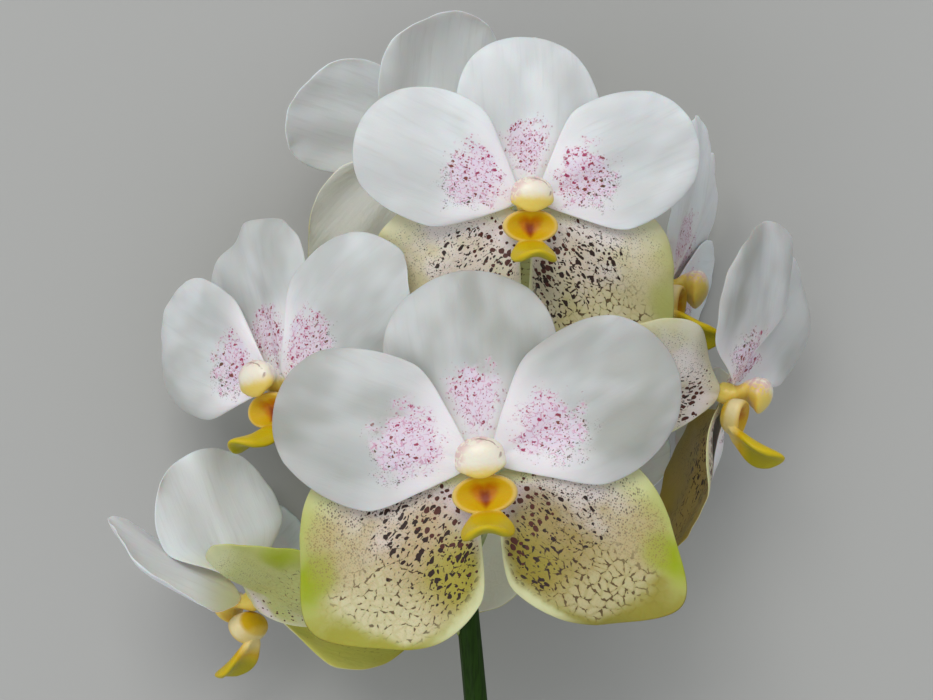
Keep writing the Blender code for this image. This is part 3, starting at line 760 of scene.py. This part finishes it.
PARTS = (
    Part("dorsal_sepal", DORSAL, 1, WHITE, "petal"),
    Part("petal_right", PETAL, 1, WHITE, "petal"),
    Part("petal_left", PETAL, -1, WHITE, "petal"),
    Part("lateral_sepal_right", LATERAL, 1, NETTED, "netted_sepal"),
    Part("lateral_sepal_left", LATERAL, -1, NETTED, "netted_sepal"),
)
print("blades to grow:", len(BLOOMS) * len(PARTS))

# %% Grow the blades


def blade_looks(part, looks):
    """What the blade's finish reads on its front, on its back, and on both."""
    if part.finish == WHITE:
        patch = (looks.dots, DORSAL_PATCH if part.blade == DORSAL else PETAL_PATCH)
        return patch, patch, (looks.light, looks.centre, looks.dusty)
    heavy, green, back, deep = looks.sepals[0 if part.side > 0 else 1]
    return (heavy, green), (heavy, back), (looks.yellow, deep, looks.dusty)


def blade_piece(name, part, bloom, held, phase, grid):
    """A blade's closed skin: its sheet laid in place and pressed on the table, then given a thickness."""
    sheet, share, lay, fan = blade_sheet(name, part, bloom, held, phase, grid)
    half = half_thickness(BLADE_THICKNESS, share[..., 2:], BLADE_EDGE)
    sheet = boxed(placed(sheet, bloom), half)
    points, faces = leaf_skin(*two_sheets(sheet, half, bloom_axes(bloom)[:, 2]))
    front, back, both = blade_looks(part, LOOKS[bloom.name])
    sides = [np.broadcast_to((one, *numbers), share.shape) for one, numbers in ((1.0, front), (0.0, back))]
    stored = {"share": share, "lay": lay, "fan": fan, "tint": np.broadcast_to(both, share.shape)}
    stored = {label: joined(values, values) for label, values in stored.items()}
    mesh = skin_mesh(name + "_skin", points, faces, side=joined(*sides), **stored)
    return add_piece(mesh, part.finish, name)


faces_grown = 0
for index, bloom in enumerate(BLOOMS):
    grid = NEAR_GRID if index < NEAR_BLOOMS else FAR_GRID
    for number, (part, held) in enumerate(zip(PARTS, HELD[bloom.name])):
        phase = BLADE_SHIFT * number + BLOOM_SHIFT * index
        piece = blade_piece(bloom.name + "_" + part.name, part, bloom, held, phase, grid)
        faces_grown += len(piece.data.polygons)
print("blades:", len(BLOOMS) * len(PARTS), "with", faces_grown, "faces")

# %% [markdown]
# ## The column
#
# The column is the flower's own post: it carries the pollen cap at its end and hides a hollow under it. It is
# a turned form, lifted towards the bloom's top, with a groove where the cap sits, a beak and two wings that
# stand out round the hollow, and a wider neck behind them. `local` is the place in the bloom, in millimetres.

# %% Column finish
COLUMN_CREAM = (0.90, 0.84, 0.70)
COLUMN_WHITE = (0.92, 0.88, 0.84)
COLUMN_YELLOW = (0.84, 0.64, 0.12)
COLUMN_PINK = (0.74, 0.50, 0.50)
# Painted shadow: the dark of the thin line near the column's outline.
COLUMN_EDGE_SHADOW = (0.26, 0.13, 0.10)


def column_flows(start):
    """White to cream towards the cap, yellow below it, a pink smudge and a thin broken painted shadow at the
    upper right.
    """
    place = read(start, "local")
    x, y, z = place.parts()
    ripe, _, _ = read(start, "tint").parts()
    soft = place.noise(0.5, 2.0) - 0.5
    away = start.vector(x / 5.6, (y - 3.2) / 4.2).length() + soft * 0.25
    smudge = place.noise(0.9, 2.0).rise(0.40, 0.56) * away.rise(0.45, 0.85) * z.rise(2.0, 4.5)
    # Painted shadow: a thin broken dark line near the column's outline on its upper right, where the wing's
    # edge lies in shade.
    painted_edge_shadow = (away - 0.84).size().rise(0.050, 0.015) * z.rise(7.0, 8.0) * place.noise(0.4, 1.0).rise(0.32, 0.44)
    colour = (z + soft * 3.0).rise(5.0, 8.5).between(COLUMN_WHITE, COLUMN_CREAM).under(
        ((y + soft * 1.6 - ripe * 3.0).rise(1.4, -1.8), COLUMN_YELLOW),
        (smudge * (y - x * 0.7).rise(2.5, 6.5) * 0.75, COLUMN_PINK),
        (painted_edge_shadow * (x * 0.8 + y).rise(5.0, 6.5) * 0.65, COLUMN_EDGE_SHADOW),
    )
    return {"Base Color": colour, "Normal": place.noise(1.4, 2.0).bump(0.00010)}


CREAM_WAX = new_finish("column cream", column_flows, 0.38, Coat_Weight=0.12, **SOFT)

# %% The column's shape
# Radius and height of the turned form, from the cap's top to the foot.
COLUMN_PROFILE = (
    (0.0, 0.0116), (0.0016, 0.0114), (0.0032, 0.0107), (0.0044, 0.0094), (0.0047, 0.0080), (0.0042, 0.0062),
    (0.0031, 0.0046), (0.0026, 0.0026), (0.0030, 0.0006), (0.0030, -0.0012), (0.0024, -0.0027),
    (0.0, -0.0027),
)
COLUMN_LIFT, COLUMN_LIFT_HEIGHTS = 0.0032, (0.0008, 0.0060)
COLUMN_WIDTH, COLUMN_DEPTH = 1.20, 0.88
# The share of the radius that each form takes or adds, and the height and width of its bell.
GROOVE, HOLLOW, NECK = (0.05, 0.0073, 0.0005), (0.16, 0.0058, 0.0012), (0.26, 0.0036, 0.0014)
BEAK, WINGS = (0.42, 0.0096, 0.0014), (0.20, 0.0080, 0.0022)
UP, DOWN = 0.5 * math.pi, 1.5 * math.pi
WING_TURN = 0.3 * math.pi


def smooth_route(points, count):
    """A smooth curve through the points (Catmull-Rom), read at count places evenly spread over them."""
    known = np.asarray(points, float)
    padded = np.vstack([2 * known[0] - known[1], known, 2 * known[-1] - known[-2]])
    places = np.linspace(0.0, len(known) - 1.0, count)
    first = np.minimum(places.astype(int), len(known) - 2)
    t = (places - first)[:, None]
    a, b, c, d = (padded[first + k] for k in range(4))
    return 0.5 * (2 * b + (c - a) * t + (2 * a - 5 * b + 4 * c - d) * t**2 + (3 * b - a - 3 * c + d) * t**3)


def turned(profile, rows, around):
    """The radii and heights along a profile's smooth route, and the angles round it as a row."""
    route = smooth_route(profile, rows)
    angle = np.linspace(0.0, 2.0 * math.pi, around, endpoint=False)[None, :]
    return np.maximum(route[:, :1], 0.0), route[:, 1:], angle


def relief(height, form):
    """How much of the radius a form takes or adds at each height."""
    share, middle, width = form
    return share * bell(height, middle, width)


def column_rings(rows=52, around=56):
    """Turned rings, lifted towards the bloom's top, whose radius changes by bells in height and in angle.

    Groove and neck run all round but below. Hollow and beak lie below, with a wing at each side of them.
    """
    radius, height, angle = turned(COLUMN_PROFILE, rows, around)
    below = bell(angle, DOWN, 0.70)
    wings = bell(angle, DOWN - WING_TURN, 0.35) + bell(angle, DOWN + WING_TURN, 0.35)
    pressed = relief(height, GROOVE) * (1.0 - below) + relief(height, HOLLOW) * below
    raised = relief(height, BEAK) * bell(angle, DOWN, 0.75) + relief(height, WINGS) * wings
    raised = raised + relief(height, NECK) * (1.0 - bell(angle, DOWN, 0.9))
    radius = radius * (1.0 - pressed + raised)
    low, high = COLUMN_LIFT_HEIGHTS
    share = smoothstep((height - low) / (high - low))
    x = radius * np.cos(angle) * (1.0 + (COLUMN_WIDTH - 1.0) * share)
    y = radius * np.sin(angle) * (1.0 + (COLUMN_DEPTH - 1.0) * share) + COLUMN_LIFT * share
    return points_from(x, y, height)


points, faces = round_skin(column_rings())
for bloom in BLOOMS:
    stored = {"local": points * MM, "tint": np.full_like(points, LOOKS[bloom.name].ripe)}
    mesh = skin_mesh(bloom.name + "_column_skin", placed(points, bloom), faces, **stored)
    add_piece(mesh, CREAM_WAX, bloom.name + "_column")
print("columns:", len(BLOOMS), "of", len(points), "points each")

# %% [markdown]
# ## The lip
#
# The lip is the insect's landing place: a fleshy cup under the column, and a tongue that reaches out of it.
# The cup is one closed skin that goes up its outside, over a soft rim and down into a shallow bowl, where the
# colour glows orange towards a red-brown heart. The tongue is a thick blade, arched from side to side. A
# Boolean union joins the two, because on the real flower they are one flesh. `inside` tells the bowl, the
# tongue's lower side and the cup's outside apart.

# %% Lip finish
LIP_YELLOW = (0.66, 0.41, 0.002)
LIP_ORANGE = (0.58, 0.20, 0.001)
LIP_HEART = (0.26, 0.035, 0.001)
LIP_PALE = (0.80, 0.60, 0.14)
LIP_OLIVE = (0.36, 0.32, 0.004)
LIP_CREAM = (0.84, 0.74, 0.44)
TONGUE_YELLOW = (0.64, 0.47, 0.002)


def lip_flows(start):
    """Yellow, with a two-lobed heart in the bowl, a cream outside, a pale point and an olive lower side."""
    place = read(start, "local")
    x, y, z = place.parts()
    bowl, under, outside = read(start, "inside").parts()
    soft = place.noise(0.5, 2.0) - 0.5
    lobed = y + 6.5 - x.size() * 0.6
    glow = start.vector(x * 0.8, lobed).length() + soft * 0.8
    heart = start.vector(x * 1.1, lobed * 0.75 + 0.4).length() + soft * 0.8
    colour = (z + soft * 3.0).rise(8.0, 11.0).between(LIP_YELLOW, TONGUE_YELLOW).under(
        (bowl * glow.rise(3.3, 1.5), LIP_ORANGE),
        (bowl * heart.rise(2.0, 0.4), LIP_HEART),
        ((1.0 - bowl) * outside * z.rise(7.6, 5.0) * 0.8, LIP_CREAM),
        ((y + z * 0.3).rise(-6.6, -8.4) * z.rise(8.6, 7.2) * (1.0 - bowl) * 0.5, LIP_PALE),
        (under * 0.85, LIP_OLIVE),
    )
    return {"Base Color": colour, "Normal": place.noise(1.6, 3.0).bump(0.00010)}


DENSE = {"Subsurface_Weight": 0.15, "Subsurface_Scale": 0.0010}
YELLOW_WAX = new_finish("lip yellow", lip_flows, 0.42, Specular_IOR_Level=0.3, **DENSE)

# %% The cup and the tongue
CUP_CENTRE, CUP_RADII = np.array([[0.0, -0.0060, 0.0046], [0.0076, 0.0046, 0.0044]])
TONGUE_ROOT = (-0.0078, 0.0030)
TONGUE_LENGTH, TONGUE_WIDTH, TONGUE_THICKNESS = 0.0185, 0.0122, 0.0026
TONGUE_DROOP, TONGUE_UPTURN, TONGUE_ARCH = 0.0070, 0.0018, 0.0042
TONGUE_ROOT_SHARE, TONGUE_FULL_WIDTH, SOFT_EDGE = 0.68, 0.5, 4
BOWL_FROM, BOWL_GROWS, SIDE_DIP = 0.62, 0.15, 0.0004
# From the bottom of the outside, over the rim, to the bottom of the bowl: the share of the cup's width
# and the height above its centre, as a share of its depth.
CUP_PROFILE = (
    (0.0, -0.97), (0.55, -0.82), (0.87, -0.45), (0.99, 0.0), (1.0, 0.30), (0.96, 0.50), (0.86, 0.53),
    (0.70, 0.40), (0.52, 0.18), (0.32, 0.0), (0.0, -0.08),
)


def cup_rings(rows=44, around=64):
    """The cup's profile carried round an ellipse, whose rim dips a little at the sides.

    The bowl is drawn to a point on its lower side, and the rim there is the thickest.
    """
    share, height, angle = turned(CUP_PROFILE, rows, around)
    inner = smoothstep((np.linspace(0.0, 1.0, rows)[:, None] - BOWL_FROM) / BOWL_GROWS)
    share = share * (1.0 + inner * (0.10 * bell(angle, DOWN, 0.5) - 0.14 * bell(angle, UP, 0.5)))
    rings = CUP_CENTRE + CUP_RADII * points_from(share * np.cos(angle), share * np.sin(angle), height)
    rings[..., 2] -= SIDE_DIP * (1.0 + np.cos(2.0 * angle)) / 2.0 * smoothstep((height - 0.1) / 0.4)
    return rings


def tongue_height(p, along):
    """The tongue droops from the cup's floor, lifts again at its tip and arches from side to side."""
    arch = TONGUE_ARCH * p * p * along
    return TONGUE_ROOT[0] - TONGUE_DROOP * np.sqrt(along) + TONGUE_UPTURN * along**4 - arch


def tongue_sheets(grid=(30, 46)):
    """The tongue's front and back sheets. It is narrower at its root."""
    p, along, rim, _ = disc_grid(grid)
    grown = smoothstep(along / TONGUE_FULL_WIDTH)
    width = TONGUE_WIDTH * (TONGUE_ROOT_SHARE + (1.0 - TONGUE_ROOT_SHARE) * grown)
    z = TONGUE_ROOT[1] + TONGUE_LENGTH * along - TONGUE_ARCH * p * p * along / 2.0
    half = half_thickness(TONGUE_THICKNESS, rim[..., None], SOFT_EDGE)
    sheet = points_from(p * width / 2.0, tongue_height(p, along), z)
    return two_sheets(sheet, half, np.array([0.0, 1.0, 0.0]))


def union(first, second):
    """One mesh from two closed ones, by Blender's Boolean modifier."""
    objects = [shown(mesh.name, mesh) for mesh in (first, second)]
    step = objects[0].modifiers.new("union", "BOOLEAN")
    step.operation, step.object = "UNION", objects[1]
    bpy.context.view_layer.update()
    graph = bpy.context.evaluated_depsgraph_get()
    mesh = bpy.data.meshes.new_from_object(objects[0].evaluated_get(graph))
    for obj in objects:
        bpy.data.objects.remove(obj)
    return mesh


def points_of(mesh):
    """A mesh's points as rows of three."""
    flat = np.empty(len(mesh.vertices) * 3, np.float32)
    mesh.vertices.foreach_get("co", flat)
    return flat.reshape(-1, 3).astype(float)


def lip_marks(points):
    """One in the bowl, one on the tongue's lower side, and one on the cup's outside, with soft edges."""
    x, y, z = points.T
    across = np.hypot(x / CUP_RADII[0], (y - CUP_CENTRE[1]) / CUP_RADII[1])
    bowl = smoothstep((0.92 - across) / 0.16) * smoothstep((z - 0.0026) / 0.0006)
    along = np.clip((z - TONGUE_ROOT[1]) / TONGUE_LENGTH, 0.0, 1.0)
    sunk = tongue_height(2.0 * x / TONGUE_WIDTH, along) - y
    under = smoothstep(sunk / 0.0014 + 0.3) * smoothstep((z - 0.0085) / 0.004)
    outside = smoothstep((across - 0.80) / 0.10) * smoothstep((0.0085 - z) / 0.001)
    return points_from(bowl, under, outside)


cup = skin_mesh("cup", *round_skin(cup_rings()))
tongue = skin_mesh("tongue", *leaf_skin(*tongue_sheets()))
lip = union(cup, tongue)
lip_points = points_of(lip)
for bloom in BLOOMS:
    mesh = lip.copy()
    mesh.name = bloom.name + "_lip_skin"
    mesh.vertices.foreach_set("co", placed(lip_points, bloom).astype(np.float32).ravel())
    mesh.update()
    give(mesh, "local", lip_points * MM)
    give(mesh, "inside", lip_marks(lip_points))
    add_piece(mesh, YELLOW_WAX, bloom.name + "_lip")
print("lips:", len(BLOOMS), "of", len(lip.polygons), "faces each")

# %% [markdown]
# ## Stem, stalks and bracts
#
# The stem is a tube along a smooth route, with shallow ridges. Each stalk leaves it upwards and outwards and
# swells into the ovary, whose six ribs twist, because the flower turned over as it opened. Small dry scales
# clasp the stem under each stalk and along its bare part. The third number of `share` tells stem, stalk and
# scale apart.

# %% Stem and stalk finishes
STEM_GREEN = (0.018, 0.052, 0.003)
STEM_DARK = (0.009, 0.026, 0.001)
STALK_PALE = (0.62, 0.64, 0.40)
STALK_GREEN = (0.26, 0.34, 0.07)
SCALE_DRY = (0.30, 0.24, 0.12)


def stem_flows(start):
    """Dark streaks on the stem, stalks that pale towards their bloom, and scales that dry to their tip."""
    _, along, kind = read(start, "share").parts()
    place = start.node("TexCoord", {}, {}, "Object")
    streak = place.node("Mapping", {}, {"Vector": place, "Scale": (1800.0, 160.0, 1800.0)}).noise(1.0, 3.0)
    mottle = place.noise(320.0, 3.0)
    stalk = (along + mottle * 0.3).rise(0.20, 0.62).between(STALK_GREEN, STALK_PALE)
    colour = (streak.rise(0.40, 0.66) * 0.7).between(STEM_GREEN, STEM_DARK).under(
        (kind.rise(0.3, 0.7), stalk),
        (kind.rise(1.3, 1.7) * (along + mottle * 0.5).rise(0.3, 1.0) * 0.85, SCALE_DRY),
    )
    return {"Base Color": colour, "Roughness": mottle * 0.2 + 0.34, "Normal": streak.bump(0.00015)}


GREEN = new_finish("stem green", stem_flows, 0.55, Specular_IOR_Level=0.12)

# %% Tubes along a route
# Points that the stem runs through, from the cut end up, and its radius there.
STEM_ROUTE = np.array(
    [
        (0.014, -0.235, -0.08487, 0.0032),
        (0.010, -0.190, -0.0745, 0.0031),
        (0.006, -0.140, -0.0560, 0.0030),
        (0.003, -0.095, -0.0440, 0.0029),
        (-0.001, -0.050, -0.0400, 0.0027),
        (-0.004, -0.010, -0.0400, 0.0024),
        (-0.003, 0.020, -0.0420, 0.0020),
        (0.001, 0.036, -0.0430, 0.0013),
    ]
)
STALK_RADIUS, OVARY_RADIUS = 0.0012, 0.0019
OVARY_FROM, OVARY_GROWS = 0.2, 0.6
STALK_STRAIGHT, STALK_RISE, STALK_PULL = 0.0020, 0.40, 0.42
# How many faces round, what kind it is, how many ribs, how deep a share they take, and how far they turn.
STEM_FORM = (40, 0.0, 9, 0.025, 3.0)
STALK_FORM = (36, 1.0, 6, 0.13, 2.0 * math.pi)


def tube_rings(route, radii, around, ribs, rib_depth, twist):
    """Rings square to a route, with a row shrunk to a point at each end.

    The radius is the tube's own times one plus the ribs, a cosine of the angle that turns with the length.
    """
    ahead = unit(np.gradient(route, axis=0))
    reference = np.array([1.0, 0.0, 0.0]) if abs(ahead[0, 0]) < 0.7 else np.array([0.0, 0.0, 1.0])
    sideways = unit(np.cross(ahead, np.broadcast_to(reference, ahead.shape)))
    upright = np.cross(sideways, ahead)
    angle = np.linspace(0.0, 2.0 * math.pi, around, endpoint=False)
    ribbed = 1.0 + rib_depth * np.cos(ribs * angle + twist * np.linspace(0.0, 1.0, len(route))[:, None])
    reach = (np.asarray(radii)[:, None] * ribbed)[..., None]
    rings = route[:, None, :] + reach * (
        np.cos(angle)[..., None] * sideways[:, None, :] + np.sin(angle)[..., None] * upright[:, None, :]
    )
    ends = [np.broadcast_to(route[k], rings[:1].shape) for k in (0, -1)]
    return np.concatenate([ends[0], rings, ends[1]])


def tube_piece(name, route, radii, form):
    """A closed tube in place of the stem's solid, which stores how far along a point lies and its kind."""
    around, kind, ribs, rib_depth, twist = form
    points, faces = round_skin(tube_rings(route + ORIGIN_SHIFT, radii, around, ribs, rib_depth, twist))
    along = np.repeat(np.linspace(0.0, 1.0, len(route)), around)
    share = points_from(0.0, np.concatenate([[0.0], along, [1.0]]), kind)
    mesh = skin_mesh(name, boxed(points), faces, share=share)
    return add_piece(mesh, GREEN, "flower_stem")


def stem_axis(heights):
    """The stem's axis points at the given heights along Y."""
    fine = smooth_route(STEM_ROUTE, 400)
    return points_from(*(np.interp(heights, fine[:, 1], fine[:, k]) for k in range(3)))


def stalk_route(bloom, count=60):
    """A stalk leaves the stem upwards and outwards, and ends straight behind its bloom."""
    facing = unit(np.array(bloom.facing))
    start = stem_axis(bloom.joint)
    end = np.array(bloom.centre) - facing * (SEAT_BACK * bloom.size + SEAT_GAP * 0.3)
    neck = end - facing * STALK_STRAIGHT
    way = neck - start
    length = np.linalg.norm(way)
    outward = unit(np.array([way[0], STALK_RISE * length, way[2]]))
    pull = STALK_PULL * length
    t = np.linspace(0.0, 1.0, count)[:, None]
    a, b, c, d = start, start + outward * pull, neck - facing * pull, neck
    curve = (1 - t) ** 3 * a + 3 * (1 - t) ** 2 * t * b + 3 * (1 - t) * t**2 * c + t**3 * d
    return np.vstack([curve, end])


stem = smooth_route(STEM_ROUTE, 200)
tube_piece("stem_skin", stem[:, :3], stem[:, 3], STEM_FORM)
for bloom in BLOOMS:
    route = stalk_route(bloom)
    swelling = smoothstep((np.linspace(0.0, 1.0, len(route)) - OVARY_FROM) / OVARY_GROWS)
    radii = bloom.size * (STALK_RADIUS + (OVARY_RADIUS - STALK_RADIUS) * swelling)
    tube_piece(bloom.name + "_stalk_skin", route, radii, STALK_FORM)
print("stem and stalks:", 1 + len(BLOOMS))

# %% Clasping scales
BRACT_LENGTH, BRACT_BELOW_JOINT, SHEATH_LENGTH = 0.0060, 0.0026, 0.0090
SHEATHS = ((-0.112, (1.0, 0.0, 0.3)), (-0.152, (-1.0, 0.0, 0.5)), (-0.194, (0.6, 0.0, 1.0)))
SCALE_WRAP, SCALE_TIP_WRAP, SCALE_SUNK = 1.15, 0.5, 0.15
SCALE_STAND_OFF, SCALE_LIFT, SCALE_THICKNESS = 0.0011, 0.0001, 0.0008


def scale_sheets(height, heading, length, grid=(24, 24)):
    """A blade wrapped part of the way round the stem, whose tip stands off it a little."""
    centre, above = stem_axis(np.array([height, height + 0.001]))
    axis = unit(above - centre)
    out = np.asarray(heading, float)
    out = unit(out - axis * (out @ axis))
    beside = np.cross(axis, out)
    radius = np.interp(height, STEM_ROUTE[:, 1], STEM_ROUTE[:, 3])
    p, along, rim, _ = disc_grid(grid)
    angle = p * SCALE_WRAP * (1.0 - (1.0 - SCALE_TIP_WRAP) * along)
    reach = radius + SCALE_LIFT + SCALE_STAND_OFF * along**2
    rise = (along - SCALE_SUNK) * length
    half = half_thickness(SCALE_THICKNESS, rim, SOFT_EDGE)

    def sheet(offset):
        """The wrapped sheet, this much further from the stem."""
        flat = points_from(np.cos(angle) * (reach + offset), np.sin(angle) * (reach + offset), rise)
        return flat @ np.stack([out, beside, axis]) + centre + ORIGIN_SHIFT

    return sheet(half), sheet(-half), points_from(p, along, 2.0)


scales = []
for bloom in BLOOMS:
    heading = bloom.centre - stem_axis(bloom.joint)
    scales.append((bloom.name + "_bract_skin", bloom.joint - BRACT_BELOW_JOINT, heading, BRACT_LENGTH))
for number, (height, heading) in enumerate(SHEATHS, 1):
    scales.append((f"sheath_{number}_skin", height, heading, SHEATH_LENGTH))
for name, height, heading, length in scales:
    front, back, share = scale_sheets(height, heading, length)
    mesh = skin_mesh(name, *leaf_skin(front, back), share=joined(share, share))
    add_piece(mesh, GREEN, "flower_stem")
print("scales:", len(scales))

# %% [markdown]
# ## Table, light and camera
#
# The table is plain and pale. A wide lamp beyond the top of the picture gives the soft modelling of the
# petals, a weaker one fills from the left, and an even sky lifts the shadows. The camera hangs over the
# front bloom with a long lens and looks straight down.

# %% Set the stage
TABLE_SIZE = 6.0
TABLE_GREY, TABLE_CLOUD = (0.43, 0.43, 0.415), (0.37, 0.37, 0.36)


def table_flows(start):
    """A pale grey with the faintest clouds."""
    clouds = start.node("TexCoord", {}, {}, "Object").noise(6.0, 3.0) * 0.10
    return {"Base Color": clouds.between(TABLE_GREY, TABLE_CLOUD)}


line = np.array([-0.5, 0.0, 0.5]) * TABLE_SIZE
square = points_from(*np.meshgrid(line, line, indexing="ij"), 0.0).reshape(-1, 3)
flat = bpy.data.meshes.new("table")
flat.from_pydata(square.tolist(), [], grid_quads(np.arange(9).reshape(3, 3)).tolist())
table = shown("table", flat)
table.data.materials.append(new_finish("pale table", table_flows, 0.75))
print("the table is", TABLE_SIZE, "m wide")

# %% Lamps, sky and camera
CAMERA_HEIGHT, LIT_PLACE = 0.6, (0.0, 0.05, 0.05)


def area_lamp(name, place, size, power, colour):
    """A square lamp that faces the blooms."""
    lamp = bpy.data.lights.new(name, "AREA")
    lamp.size, lamp.energy, lamp.color = size, power, colour
    held_up = shown(name, lamp)
    back = unit(np.array(place) - np.array(LIT_PLACE))
    held_up.location = place
    held_up.rotation_euler = (math.acos(back[2]), 0.0, math.atan2(back[0], -back[1]))


area_lamp("wide lamp", (-0.5, 1.6, 2.5), 1.6, 38.0, (1.0, 0.99, 0.97))
area_lamp("fill lamp", (-0.9, -0.9, 1.6), 1.4, 5.0, (0.96, 0.98, 1.0))

sky = bpy.data.worlds.new("soft sky")
sky.use_nodes = True
glow = sky.node_tree.nodes["Background"].inputs
glow["Color"].default_value = (0.93, 0.96, 1.0, 1.0)
glow["Strength"].default_value = 0.55
bpy.context.scene.world = sky

lens = bpy.data.cameras.new("camera")
lens.lens, lens.sensor_width = 100.0, 36.0
camera = shown("camera", lens)
camera.location = ORIGIN_SHIFT + np.array([0.0, 0.0, CAMERA_HEIGHT])
bpy.context.scene.camera = camera
bpy.context.scene.view_settings.view_transform = "Standard"
print("camera at", [round(v, 4) for v in camera.location])
